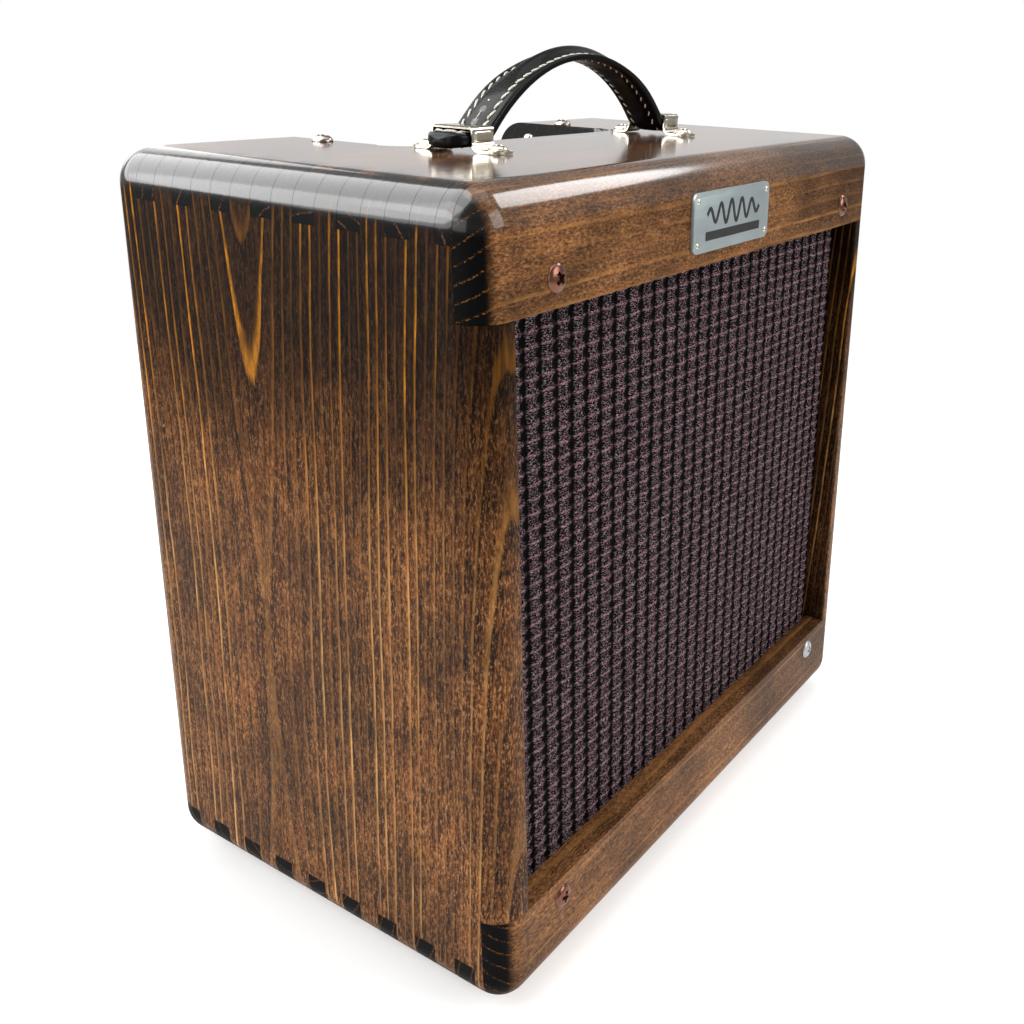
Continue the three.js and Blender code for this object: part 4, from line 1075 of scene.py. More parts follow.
def strap_fittings(half):
    """A keyhole slot with its steel spring just above the cap, and one small rivet over it."""
    bm = bmesh.new()
    places = (SLOT_NEAR, SLOT_FAR, SPRING_NEAR)
    near, far, reach = (np.interp(x, half.path[:, 0], half.distance) for x in places)
    turns = np.linspace(0, math.pi, 9)

    def slot_line(width, lift):
        ends = [(near - width * math.sin(a), width * math.cos(a)) for a in turns]
        ends += [(far + width * math.sin(a), -width * math.cos(a)) for a in turns]
        return [half.place(s, t, half.surface(s, t, 1) + lift) for s, t in ends]

    # the slot is not cut: a black inlay stands in for it, painted shade for the hole's dark inside
    skin(bm, [slot_line(1.5, -0.4), slot_line(1.5, 0.02)], material=1)
    tube(bm, slot_line(1.6, -0.12), 0.16, 8, 0, closed_path=True)
    coils = np.linspace(reach, far + 1, 6)
    spring = [half.place(s, 0.2, half.surface(s, 0.2, 1) - 0.38) for s in coils]
    tube(bm, spring, 0.42, 10, 2)
    s = near - 4.6
    rivet = [half.place(s, 0, half.surface(s, 0, 1) + lift) for lift in (-0.4, 0.1, 0.22, 0.3)]
    tube(bm, rivet, [0.55, 0.55, 0.42, 0.12], 12, 2)
    return bm


def make_handle():
    strap_bodies = (("left", -1, LEFT_END, ["handle_tab_left", "handle_grip"]),
                    ("right", 1, RIGHT_END, ["handle_tab_right"]))
    for side, sign, end, nodes in strap_bodies:
        half = HalfStrap(sign, end)
        for name, bm, material, stands_for in (
            ("strap", half.shell(), LEATHER, nodes),
            ("stitching", half.stitches(), THREAD, ()),
            ("fittings", strap_fittings(half), [LEATHER, INK, DARK_NICKEL], ()),
        ):
            o = piece(f"handle_{name}_{side}", bm, material, body=None,
                      replaces=stands_for, smooth=60)
            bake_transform(o)
        piece(f"handle_cap_{side}_pressed", handle_cap(sign * CAP_CENTRE), NICKEL,
              replaces=[f"handle_cap_{side}"], smooth=50, place=shift(0, 0, TOP))


make_handle()
make_screws()

# ------------------------------------------------------------------ back, inner boards and feet


def dress(node, material):
    """Gives a CAD node whose shape is right its own finish."""
    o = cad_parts[node]
    o.data.materials.clear()
    o.data.materials.append(material)


def flat_panel(node, bevel, holes=()):
    """A board on the back, its edges eased and its openings cut through."""
    low, high = corners(node)
    outline = [(low.x, low.z), (high.x, low.z), (high.x, high.z), (low.x, high.z)]
    bm = prism(bmesh.new(), outline, low.y, high.y, "Y", bevel=bevel)
    for hole in holes:
        bm = combine(bm, prism(bmesh.new(), hole, low.y - PAST, high.y + PAST, "Y"))
    return bm


def make_back():
    wood = dict(along="X", spacing=6.0, curve=0.003, gold=0.5, tone=0.95)
    inlet = middle("mains_inlet")
    inlet_hole = rounded_rectangle(10.35, 13.85, 1.0, (inlet.x, inlet.z))
    for node, holes, level, seed in (
        ("upper_back_panel", [inlet_hole], TOP - 30, 83.0),
        ("lower_back_panel", [], 40.0, 97.0),
    ):
        material = stained_pine(f"pine_{node}", pith=(HALF_DEPTH + 46, level), seed=seed, **wood)
        panel = flat_panel(node, 1.2, holes)
        piece(f"{node}_wood", panel, material, replaces=[node])
    strip_wood = plain_board("strip_wood", "7a5733", "b48c5c", along="Z")
    ply = plain_board("baffle_plywood", "4a3420", "7c5c3a")
    dress("left_cleat", strip_wood)
    dress("right_cleat", strip_wood)
    dress("baffle_board", ply)


def make_feet():
    """Turned rubber feet, each dished for its washer and screw."""
    profile = [(0, 3.4), (3.9, 3.4), (4.6, 0.7), (5.2, 0.15), (6, 0), (11, 0)]
    profile += [*arc((11, 2), 2, -75, 0, 5), (13, 4.6), *arc((11.6, 5.3), 1.4, 0, 90, 5), (0, 6.7)]
    screw_head = [(0, 3.35), (3.7, 3.35), (3.7, 2.9), (2.6, 2.2), (1.2, 1.8), (0, 1.75)]
    for end in ("front", "rear"):
        for side in ("left", "right"):
            node = f"foot_{end}_{side}"
            at = middle(node)
            place = shift(at.x, at.y, 0)
            bm = turned(bmesh.new(), profile, 56, place=place)
            turned(bm, screw_head, 32, 1, place)
            # the screw's slot is not cut: a black bar stands in for it, painted shade for the recess
            box(bm, (-2.2, 2.2), (-0.35, 0.35), (1.68, 2.4), material=2, place=place)
            piece(f"{node}_rubber", bm, [RUBBER_SOFT, STEEL, INK], replaces=[node])


make_back()
make_feet()

# ------------------------------------------------------------------ controls in the notch

CONTROL_LEVEL = corners("chassis_tray")[1].z
CONTROL_Y = 56.0                  # the middle line of the row of controls
CHASSIS_FLOOR = corners("chassis_tray")[0].z
CHROME = brushed_metal("bright_nickel", "dcdcdc", 0.08, worn="8f8f8f")
WHITE_PAINT = moulded("white_paint", "d8d5c8", 0.5)
BRASS = brushed_metal("brass", "b08a46", 0.25, worn="5c4522")


def red_jewel():
    s = Surface("red_jewel_glass", Transmission_Weight=0.55, IOR=1.5, Coat_Weight=0.4)
    depth = s.noise(s.millimetres(), 0.4, detail=3.0)
    s.link(s.blend(depth, colour("7a0508"), colour("e02a1c")), "Base Color")
    s.link(s.spread(depth, 0.0, 1.0, 0.04, 0.1), "Roughness")
    return s.material


def threaded(radius, low, high, pitch=0.8):
    """Profile points of a threaded barrel."""
    count = int((high - low) / pitch)
    points = []
    for i in range(count):
        level = low + i * pitch
        points += [(radius, level + pitch * 0.25), (radius - 0.3, level + pitch * 0.75)]
    return points


def hex_nut(bm, radius, low, high, material=0, place=None):
    """A hexagonal nut chamfered above and below."""
    edge = radius / math.cos(math.pi / 6)
    nut = prism(bmesh.new(), polygon(6, edge), low, high)
    chamfered = [(0, low - 1), (edge - 0.9, low - 0.01), (edge + 0.1, low + 0.7)]
    chamfered += [(edge + 0.1, high - 0.7), (edge - 0.9, high + 0.01), (0, high + 1)]
    nut = combine(nut, turned(bmesh.new(), chamfered, 48), "INTERSECT")
    return merge(bm, nut, material, place)


def merge(bm, other, material=0, place=None):
    """Adds a finished solid to another as a separate shell, with its own material index."""
    before = set(bm.faces)
    mesh = bpy.data.meshes.new("scratch")
    other.to_mesh(mesh)
    other.free()
    bm.from_mesh(mesh)
    bpy.data.meshes.remove(mesh)
    added(bm, before, material, place)
    return bm


def fluted(sections, steps, groove):
    """A solid of round sections (radius, height), cut in by groove(angle, height) from its side."""
    turns = [TAU * k / steps for k in range(steps)]
    rings = [[ray(a, radius - groove(a, level), level) for a in turns] for radius, level in sections]
    return skin(bmesh.new(), rings)


def make_pot_and_knob():
    at = middle("volume_knob")
    place = shift(at.x, at.y, CONTROL_LEVEL)
    can = [(0, -17), (11.4, -17), *arc((10.9, -15.9), 1.1, -60, 0, 4)]
    can += [(12, -6), (11, -4.2), (4.6, -2.2), (4.6, -1.9), (0, -1.9)]
    bm = turned(bmesh.new(), can, 48, place=place)
    barrel = [(3.3, -3), *threaded(4.4, 0.3, 4.3), (4.1, 4.4), (3.3, 4.4)]
    turned(bm, barrel, 40, place=place)
    hex_nut(bm, 6.0, 0.85, 2.6, place=place)
    plain_ring(bm, 4.6, 6.9, 0.3, 0.75, 40, place=place)
    piece("volume_pot_body", bm, STEEL, replaces=["volume_pot"], smooth=32)

    sections = [(10.0, 1.2), (10.0, 2.9), (9.8, 3.2), (9.3, 3.55), (8.6, 4.1), (8.25, 5.0)]
    sections += [(7.9, 12.2), (7.55, 12.85), (6.9, 13.15), (4.8, 13.2), (4.3, 13.05), (2.0, 12.9)]

    def groove(angle, level):
        return 0.32 * (0.5 + 0.5 * math.cos(20 * angle)) if 4.5 < level < 12.5 else 0.0

    knob = fluted(sections, 120, groove)
    hollow = plain_ring(bmesh.new(), 0, 8.2, 0, 5, 48)
    knob = combine(knob, hollow)
    turned(knob, [(0, -8), (3, -8), (3, 5.2), (0, 5.2)], 32, material=1)
    box(knob, (-0.45, 0.45), (1.6, 7.2), (12.6, 13.5), bevel=0.15, material=2)
    box(knob, (-0.4, 0.4), (8.7, 9.75), (3.0, 4.0), bevel=0.12, material=2)
    piece("volume_knob_fluted", knob, [BLACK_PLASTIC, BRASS, WHITE_PAINT], "volume_knob",
          ["volume_knob"], place=place)


DIAL_NUMBERS = 10
DIAL_START, DIAL_SWEEP = 240, 300    # degrees; the numbers run clockwise from the start
NUMBER_REACH = 14.3               # from the knob's axis


def make_dial():
    """Tick marks and plain numbers printed round the volume knob."""
    at = middle("volume_knob")
    bm = bmesh.new()
    level = CONTROL_LEVEL + 0.02
    for i in range(DIAL_NUMBERS):
        turn = math.radians(DIAL_START - DIAL_SWEEP * i / (DIAL_NUMBERS - 1))
        spot = shift(at.x, at.y, level) @ Matrix.Rotation(turn - math.pi / 2, 4, "Z")
        box(bm, (-0.22, 0.22), (10.7, 12.0), (0, 0.06), place=spot)
        curve = bpy.data.curves.new("number", "FONT")
        curve.body = str(i + 1)
        curve.size = 3.0
        curve.align_x = "CENTER"
        curve.align_y = "CENTER"
        curve.extrude = 0.03
        text = bpy.data.objects.new("number", curve)
        bpy.context.scene.collection.objects.link(text)
        bpy.context.view_layer.update()
        digits = bmesh.new()
        digits.from_mesh(text.evaluated_get(bpy.context.evaluated_depsgraph_get()).to_mesh())
        bpy.data.objects.remove(text)
        bpy.data.curves.remove(curve)
        spot = Vector((at.x, at.y, level + 0.03)) + ray(turn, NUMBER_REACH)
        merge(bm, digits, place=Matrix.Translation(spot))
    piece("dial_numbers", bm, INK)


LEVER_PIVOT = 3.4                 # above the chassis
LEVER_LEAN = 15                   # degrees towards the front at rest


def make_switch():
    at = middle("power_switch")
    place = shift(at.x, CONTROL_Y, CONTROL_LEVEL)
    bm = box(bmesh.new(), (-6.2, 6.2), (-6.5, 6.5), (-16, -1.9), bevel=0.6, material=1, place=place)
    for y in (-4.2, 0, 4.2):
        box(bm, (-1.1, 1.1), (y - 0.4, y + 0.4), (-18, -15.8), bevel=0.15, material=2, place=place)
    barrel = [(3.4, -1.9), (5.4, -1.9), (5.4, 0.3), *threaded(5.4, 0.3, 7.4)]
    barrel += [(5.0, 7.7), (4.3, 8.0), (3.7, 7.6), (3.4, 1)]
    turned(bm, barrel, 44, place=place)
    hex_nut(bm, 7.0, 0.85, 2.6, place=place)
    plain_ring(bm, 5.5, 7.8, 0.3, 0.75, 40, place=place)
    piece("power_switch_body", bm, [CHROME, BLACK_PLASTIC, BRASS],
          replaces=["power_switch"], smooth=32)

    bat = [(0, -2.2), (1.3, -1.9), (2.1, -0.7), (2.2, 0.3), (1.7, 1.6), (1.45, 3), (1.5, 5)]
    bat += [(1.8, 7.5), (2.2, 9.6), (2.3, 10.8), (2.15, 11.8), (1.6, 12.6), (0.8, 12.95), (0, 13)]
    tilt = shift(at.x, CONTROL_Y, CONTROL_LEVEL + LEVER_PIVOT) @ about("X", LEVER_LEAN)
    lever = turned(bmesh.new(), bat, 40, place=tilt)
    piece("switch_lever_bat", lever, CHROME, "switch_lever", ["switch_lever"])


def make_lamp():
    at = middle("pilot_lamp")
    place = shift(at.x, at.y, CONTROL_LEVEL)
    bezel = [(5.3, 0.3), (7.9, 0.3), (7.9, 1.2), *arc((7.1, 1.2), 0.8, 0, 80, 4)]
    bezel += [(6.7, 2.8), (6.2, 3.2), (5.3, 3.0)]
    bm = turned(bmesh.new(), bezel, 48, place=place)
    stem = [(0, -26), (4.8, -26), (5.4, -25.2), (5.4, 0.3), (0, 0.3)]
    turned(bm, stem, 36, material=1, place=place)
    facets = [(6.1, 2.6), (6.2, 4.6), (5.2, 7.0), (3.2, 8.9), (1.2, 9.7)]
    rings = []
    for i, (radius, level) in enumerate(facets):
        rings.append([(x, y, level) for x, y in polygon(12, radius, turn=(i % 2) * math.pi / 12)])
    skin(bm, rings, material=2, place=place)
    piece("pilot_lamp_jewel", bm, [CHROME, STEEL, red_jewel()],
          replaces=["pilot_lamp"], smooth=12)


def make_fuse_holder():
    at = middle("fuse_holder")
    place = shift(at.x, at.y, CONTROL_LEVEL)

    def knurl(angle, level):
        return 0.22 * abs(math.sin(12 * angle)) if level < 8.5 else 0.0

    bm = fluted([(6.4, 2.8), (6.4, 8.3), (6.1, 9.0), (5.4, 9.55), (2, 9.7)], 96, knurl)
    bm = combine(bm, box(bmesh.new(), (-4, 4), (-0.6, 0.6), (8.6, 11)))
    turned(bm, [(0, -30), (4.4, -30), (5, -29.4), (5.2, -24), (6, -23.4), (6, 0.3), (0, 0.3)], 40, 0)
    hex_nut(bm, 7.4, 0.35, 2.6)
    box(bm, (-1.4, 1.4), (5.0, 5.4), (-29, -24), material=1)
    piece("fuse_holder_knurled", bm, [BLACK_PLASTIC, BRASS],
          replaces=["fuse_holder"], smooth=32, place=place)


def make_jacks():
    for number in (1, 2):
        node = f"input_jack_{number}"
        at = middle(node)
        place = shift(at.x, CONTROL_Y, CONTROL_LEVEL)
        barrel = [(3.25, -2), *threaded(4.9, 0.3, 4.3), (4.6, 4.5), (4.0, 4.6), (3.25, 4.1)]
        bm = turned(bmesh.new(), barrel, 44)
        plain_ring(bm, 4.9, 7.3, 0.3, 0.8, 44)
        hex_nut(bm, 6.2, 0.85, 2.6)
        case = box(bmesh.new(), (-8.2, 8.2), (-8.2, 8.2), (-20.8, -1.9), bevel=0.8)
        merge(bm, combine(case, plain_ring(bmesh.new(), 0, 3.3, -19, 0, 32)), 1)
        for x in (-5, 0, 5):
            box(bm, (x - 1, x + 1), (7.9, 8.5), (-20, -16), material=2)
        piece(f"{node}_socket", bm, [CHROME, BLACK_PLASTIC, BRASS], replaces=[node],
              smooth=32, place=place)


def make_controls():
    dress("chassis_tray", STEEL)
    make_pot_and_knob()
    make_dial()
    make_switch()
    make_lamp()
    make_fuse_holder()
    make_jacks()


make_controls()

# ------------------------------------------------------------------ valves, transformers and board


def make_glass():
    s = Surface("valve_glass", Transmission_Weight=1.0, IOR=1.47, Specular_IOR_Level=0.5)
    haze = s.noise(s.millimetres(), 0.2, detail=4.0)
    s.link(s.blend(haze, colour("f2f7f7"), colour("e2ecec")), "Base Color")
    s.link(s.spread(haze, 0.4, 0.8, 0.02, 0.07), "Roughness")
    return s.material


GLASS = make_glass()
ANODE = moulded("grey_anode", "3c3d3e", 0.55, Metallic=0.6)
MICA = moulded("mica_disc", "b9b2a0", 0.45)
GETTER = brushed_metal("getter_flash", "5d6266", 0.12, worn="23262a")
BAKELITE = moulded("brown_bakelite", "1c120c", 0.35, Coat_Weight=0.3)
BLACK_STEEL = moulded("black_paint", "101112", 0.38, scale=1.4, strength=0.2, Coat_Weight=0.25)
VALVE_GAP = 4.5                   # from the chassis floor down to a valve's base


def make_valve(node, base_radius, base_height, radius, length, pins, turn):
    """A hanging valve: its base, a thin glass shell, and the plates held between mica discs."""
    at = middle(node)
    place = shift(at.x, at.y, CHASSIS_FLOOR - VALVE_GAP) @ about("Z", turn)
    bm = bmesh.new()
    top = -base_height
    if base_height > 10:
        rim = base_radius
        base = [(0, 0), (rim - 0.9, 0), (rim, -0.9), (rim, top + 3), (rim - 0.6, top + 2)]
        base += [(rim - 0.6, top + 0.4), (rim - 1.3, top), (radius - 2, top), (0, top + 0.4)]
        turned(bm, base, 48, 1)
    shoulder = 0.55 * radius
    dome = arc((radius - shoulder, -length + shoulder * 1.3), shoulder, 0, -62, 8)
    outer = [(radius, top + 0.6), *dome, (2.6, -length + 1.2), (1.3, -length), (0, -length)]
    inner = [(0, -length + 1.6), (2.2, -length + 2.0)]
    inner += [(r - 1.0, h + 0.7) for r, h in reversed(dome)]
    turned(bm, [*outer, *inner, (radius - 0.8, top + 0.6), (radius - 0.4, top + 0.9)][::-1], 56, 0)
    low, high = -length + 0.3 * length, top - 5
    for level in (low, high):
        mica = [(0, level), (radius - 1.6, level), (radius - 1.6, level + 0.5), (0, level + 0.5)]
        turned(bm, mica, 32, 3)
    half = radius * 0.52
    outline = rounded_rectangle(half, half * 0.62, half * 0.3)
    prism(bm, outline, low + 1, high - 0.4, bevel=0.3, material=2)
    for sx in (-1, 1):
        edge = sx * (half + 0.1)
        box(bm, (edge - 0.25, edge + 1.1 * sx), (-0.5, 0.5), (low + 1, high - 0.4), 0.1, 2)
        tube(bm, [(sx * half * 0.5, 0, high), (sx * half * 0.6, 0, top - 1)], 0.4, 8, 4)
        lead = [(sx * half, 0, low), (sx * half, 0, low - 3), (sx * half * 0.4, 0, low - 5)]
        tube(bm, lead, 0.3, 8, 4)
    turned(bm, [(2.2, low - 5.4), (half, low - 5.4), (half, low - 4.8), (2.2, low - 4.8)], 24, 4)
    cup = [(r - 1.15, h + 0.9) for r, h in dome[3:]]
    lining = [(r - 0.2, h + 0.2) for r, h in reversed(cup)]
    turned(bm, [*cup, (0, -length + 2.4), (0, -length + 2.7), *lining], 40, 5)
    for k in range(pins):
        angle = TAU * (k + 0.5) / (pins + (base_height < 10))
        reach = base_radius * 0.52
        pin = [(reach * math.cos(angle), reach * math.sin(angle), h) for h in (-0.2, 3.6)]
        tube(bm, pin, 0.9 if base_height > 10 else 0.5, 8, 4)
    piece(f"{node}_glass", bm, [GLASS, BAKELITE, ANODE, MICA, STEEL, GETTER],
          replaces=[node], place=place, smooth=35)


def make_socket(node, hole):
    at = middle(node)
    collar = hole - 0.3
    place = shift(at.x, at.y, CHASSIS_FLOOR)
    profile = [(collar - 2.5, -4.2), (collar - 0.6, -4.2), (collar, -3.6), (collar, 1.8)]
    profile += [(hole + 3.6, 1.8), (hole + 3.8, 2.1), (hole + 3.8, 3.7), (hole + 3.4, 4.0)]
    profile += [(collar - 1, 4.0), (collar - 1, 10.6), (collar - 1.4, 11), (0, 11), (0, -2.6)]
    bm = turned(bmesh.new(), [*profile, (collar - 2.5, -2.6)][::-1], 48)
    count = 8 if hole > 11 else 9
    for k in range(count):
        angle = TAU * (k + 0.5) / count
        spot = Matrix.Rotation(angle, 4, "Z")
        box(bm, (collar - 4.6, collar - 4.2), (-0.9, 0.9), (10.8, 14.6), 0.1, 1, spot)
    for side in (-1, 1):
        rivet = [(0, 4.0), (1.4, 4.0), (1.2, 4.5), (0.6, 4.75), (0, 4.8)]
        turned(bm, rivet, 20, 1, shift(side * (hole + 2), 0, 0))
    piece(f"{node}_moulded", bm, [BAKELITE, BRASS], replaces=[node], place=place)


def bolt(bm, spot, turn, radius=2.4, height=1.6, material=1):
    """A hexagonal head on its washer, standing up from spot along turn's +Z."""
    place = Matrix.Translation(spot) @ turn
    turned(bm, [(0, 0), (radius * 1.5, 0), (radius * 1.5, 0.5), (0, 0.5)], 24, material, place)
    hex_outline = polygon(6, radius)
    prism(bm, hex_outline, 0.5, height + 0.5, bevel=0.25, material=material, place=place)


HALF_SHEET = 0.46                 # half a lamination's thickness, as a share of its pitch


def make_power_transformer():
    node = "power_transformer"
    low, high = corners(node)
    at = middle(node)
    bm = bmesh.new()
    sheets = 26
    step = 22 / sheets
    floor = high.z
    for i in range(sheets):
        x = at.x - 11 + (i + 0.5) * step
        inset = 0.15 * (i % 2)
        xs = (x - step * HALF_SHEET, x + step * HALF_SHEET)
        box(bm, xs, (low.y + inset, high.y - inset), (low.z + inset, floor))
    for side in (-1, 1):
        outline = rounded_rectangle(19, 20, 6.5, (at.y, CHASSIS_FLOOR - 24), steps=8)
        near, far = at.x + side * 11, at.x + side * 23
        bell = prism(bmesh.new(), outline, *sorted((near, far)), axis="X")
        edges = [e for e in bell.edges if all(abs(v.co.x - far) < 0.01 for v in e.verts)]
        bmesh.ops.bevel(bell, geom=edges, offset=5, segments=6, profile=0.5, affect="EDGES")
        merge(bm, bell, 1)
        turn = about("Y", 90 * side)
        for sy in (-1, 1):
            for level in (low.z + 3.5, floor - 5):
                bolt(bm, (near, at.y + sy * 21.8, level), turn, 1.8, 1.4, 2)
    piece(f"{node}_wound", bm, [BLACK_STEEL, BLACK_STEEL, STEEL], replaces=[node])


def make_output_transformer():
    node = "output_transformer"
    low, high = corners(node)
    at = middle(node)
    bm = bmesh.new()
    sheets = 18
    step = 14 / sheets
    for i in range(sheets):
        y = at.y - 7 + (i + 0.5) * step
        inset = 0.12 * (i % 2)
        xs = (at.x - 18 + inset, at.x + 18 - inset)
        ys = (y - step * HALF_SHEET, y + step * HALF_SHEET)
        box(bm, xs, ys, (low.z + inset, high.z - 1.9))
    winding = rounded_rectangle(14.9, 10.9, 5, (at.y, CHASSIS_FLOOR - 18), steps=7)
    prism(bm, winding, at.x - 11.8, at.x + 11.8, "X", bevel=1.2, material=1)
    strap = [(at.x - 21, high.z), (at.x - 21, high.z - 1.2), (at.x - 18.9, high.z - 1.2)]
    strap += [(at.x - 18.9, low.z), (at.x - 18.05, low.z), (at.x - 18.05, high.z - 1.8)]
    mirrored = [(2 * at.x - x, z) for x, z in reversed(strap[:-1])]
    strap += [(at.x + 18.05, high.z - 1.8), *mirrored]
    prism(bm, strap, at.y - 6.9, at.y + 6.9, "Y", material=2)
    paper = plain_board("winding_paper", "6b5a2e", "a38c4e")
    piece(f"{node}_wound", bm, [BLACK_STEEL, paper, STEEL], replaces=[node])


def make_circuit_board():
    """Fibre board with two rows of eyelets and the resistors and capacitors between them."""
    node = "circuit_board"
    low, high = corners(node)
    bm = box(bmesh.new(), (low.x, high.x), (low.y, high.y), (low.z, high.z), bevel=0.3)
    rear = high.y
    up = about("X", -90)
    count = 13
    rows = (low.z + 4, high.z - 4)
    for i in range(count):
        x = low.x + 6 + i * (high.x - low.x - 12) / (count - 1)
        for level in rows:
            eyelet = [(0, 0), (1.3, 0), (1.3, 0.35), (0.9, 0.7), (0, 0.7)]
            turned(bm, eyelet, 16, 1, shift(x, rear, level) @ up)
        radius, reach = ((2.9, 8.0), (1.2, 4.0), (1.2, 4.0), (2.2, 6.5))[i % 4]
        material = (3, 2, 2, 4)[i % 4]
        centre = (rows[0] + rows[1]) / 2
        y = rear + radius + 0.4
        lead = [(x, rear + 0.6, rows[0]), (x, y, rows[0] + 2.4)]
        lead += [(x, y, rows[1] - 2.4), (x, rear + 0.6, rows[1])]
        tube(bm, lead, 0.3, 8, 1)
        ends = [0.82, 1, 1, 1, 1, 0.82]
        levels = [centre + reach * f for f in (-1, -0.93, -0.4, 0.4, 0.93, 1)]
        tube(bm, [(x, y, level) for level in levels], [radius * e for e in ends], 24, material)
        if material == 2:
            for f, band in ((-0.55, 5), (-0.15, 6), (0.25, 7)):
                rims = [(x, y, centre + reach * share) for share in (f, f + 0.16)]
                tube(bm, rims, radius * 1.03, 24, band)
    materials = [
        moulded("black_fibre", "141210", 0.7),
        BRASS,
        moulded("resistor_tan", "a67c4c", 0.5),
        moulded("capacitor_blue", "1c3a66", 0.35),
        moulded("capacitor_amber", "a8541c", 0.3),
        moulded("band_red", "a01712", 0.4),
        moulded("band_violet", "4a2a7a", 0.4),
        moulded("band_gold", "b08a3a", 0.35),
    ]
    piece(f"{node}_loaded", bm, materials, replaces=[node])


def make_inlet():
    """Three-pin appliance inlet with a drawn recess."""
    node = "mains_inlet"
    at = middle(node)
    rear = corners("upper_back_panel")[1].y
    place = shift(at.x, rear, at.z)
    bm = prism(bmesh.new(), rounded_rectangle(12.2, 15.6, 3), 0.3, 2.7, "Y", bevel=0.6)
    bm = combine(bm, box(bmesh.new(), (-10, 10), (-20, 1.5), (-13.5, 13.5)), "UNION")
    recess = [(-8.1, -12), (5.6, -12), (8.1, -9.5), (8.1, 9.5), (5.6, 12), (-8.1, 12)]
    bm = combine(bm, prism(bmesh.new(), recess, -15, 5, "Y"))
    for x, z in ((-3, -7), (-3, 7), (3, 0)):
        box(bm, (x - 2, x + 2), (-16, -2.5), (z - 1, z + 1), 0.3, 1)
    piece(f"{node}_moulded", bm, [BLACK_PLASTIC, CHROME],
          replaces=[node], place=place)


def make_electronics():
    for node, turn in (("rectifier_valve", 20), ("power_valve", 65)):
        make_valve(node, 16.2, 27, 14.6, 82, 8, turn)
    make_valve("preamp_valve", 9.6, 0.6, 10.2, 50, 9, 40)
    make_socket("rectifier_socket", 13.2)
    make_socket("power_valve_socket", 13.2)
    make_socket("preamp_valve_socket", 9.8)
    make_power_transformer()
    make_output_transformer()
    make_circuit_board()
    make_inlet()


make_electronics()

# ------------------------------------------------------------------ speaker

SPEAKER_DEPTH, SPEAKER_LEVEL = 25.1, 150    # its seat on the baffle, in the front's frame
SPEAKER = FRONT @ shift(0, SPEAKER_DEPTH, SPEAKER_LEVEL) @ about("X", -90)
ROUND = 96                        # segments of its round parts


def cone_paper():
    """Felted black paper with long soft fibres."""
    s = Surface("cone_paper", Specular_IOR_Level=0.15)
    point = s.millimetres()
    felt = s.noise(point, 0.8, detail=6.0, roughness=0.7, distortion=0.6)
    s.link(s.blend(s.spread(felt, 0.35, 0.7), colour("121110"), colour("2a2725")), "Base Color")
    s.link(s.spread(felt, 0.0, 1.0, 0.8, 0.95), "Roughness")
    s.bump(felt, 0.5, 0.3)
    return s.material


def make_basket():
    profile = [(103, 0.2), (103, 1.4), (102.4, 1.8), (92.4, 1.8), (91.4, 2.6), (90.2, 14.6), (89.4, 16)]
    profile += [(46.6, 58), (46, 60), (22, 60), (22, 58.6), (44.9, 58.6), (45.3, 57.4)]
    profile += [(88.3, 15.2), (88.8, 14.2), (90.2, 0.2)]
    bm = turned(bmesh.new(), profile, ROUND)
    for i in range(4):
        turn = (i + 0.5) * 90
        window = arc((0, 0), 80, turn - 31, turn + 31, 16)
        window += arc((0, 0), 51, turn + 28, turn - 28, 12)
        bm = combine(bm, prism(bmesh.new(), window, 8, 70))
    for i in range(4):
        spot = about("Z", 90 * i)
        rib = [(78, 25.8), (78, 24.4), (52, 50.0), (52, 51.4)]
        prism(bm, rib, -2.2, 2.2, "Y", place=spot)
    for side in (-1, 1):
        box(bm, (side * 6 - 2.4, side * 6 + 2.4), (-60.4, -59.6), (47, 57), 0.2, 1)
    bake = box(bmesh.new(), (-12, 12), (-59.6, -57.8), (40, 50), 0.5)
    merge(bm, bake, 2)
    piece("speaker_basket_pressed", bm, [BLACK_STEEL, BRASS, BAKELITE],
          replaces=["speaker_basket"], place=SPEAKER, smooth=35)


def make_magnet():
    plate = [(21, 60.3), (38, 60.3), (38, 65.6), (37.6, 66), (21, 66)]
    magnet = [(21, 66.1), (43.2, 66.1), (44, 66.9), (44, 78.2), (43.2, 79), (21, 79)]
    back = [(0, 79.1), (37.4, 79.1), (38, 79.6), (38, 84.2), (37.2, 85), (9, 85), (8.4, 84.2)]
    bm = turned(bmesh.new(), plate, ROUND)
    turned(bm, magnet, ROUND, 1)
    turned(bm, [*back, (0, 84.2)], ROUND)
    plain_ring(bm, 0, 18, 60.4, 79.05, ROUND)
    ferrite = moulded("ferrite", "1d1e20", 0.6, scale=0.8, strength=0.25)
    piece("speaker_magnet_plated", bm, [STEEL, ferrite],
          replaces=["speaker_magnet"], place=SPEAKER)


def make_cone():
    """The ribbed cone with its former, and the dust cap glued over it."""
    slope = []
    for f in np.linspace(0, 1, 60):
        rib = 0.35 * math.sin(TAU * 7 * f) * (f < 0.72)
        slope.append((84 - 64 * f, 1.4 + 33.1 * f ** 1.08 + rib))
    front = [(r - 0.3, h - 1.0) for r, h in slope]
    former = [(20, 68), (19.2, 68), (19.2, 33.4)]
    bm = turned(bmesh.new(), [*slope, *former, *front[::-1]], ROUND)
    piece("speaker_cone_ribbed", bm, cone_paper(), "speaker_cone", ["speaker_cone"],
          place=SPEAKER, smooth=50)
    dome = [(24 * f, 20.4 + 9 * f * f) for f in np.linspace(0, 1, 16)]
    inner = [(r * 23 / 24, h + 0.9) for r, h in reversed(dome)]
    cap = turned(bmesh.new(), [*dome, *inner], ROUND)
    piece("speaker_dust_cap_domed", cap, cone_paper(), "speaker_cone",
          ["speaker_dust_cap"], place=SPEAKER)


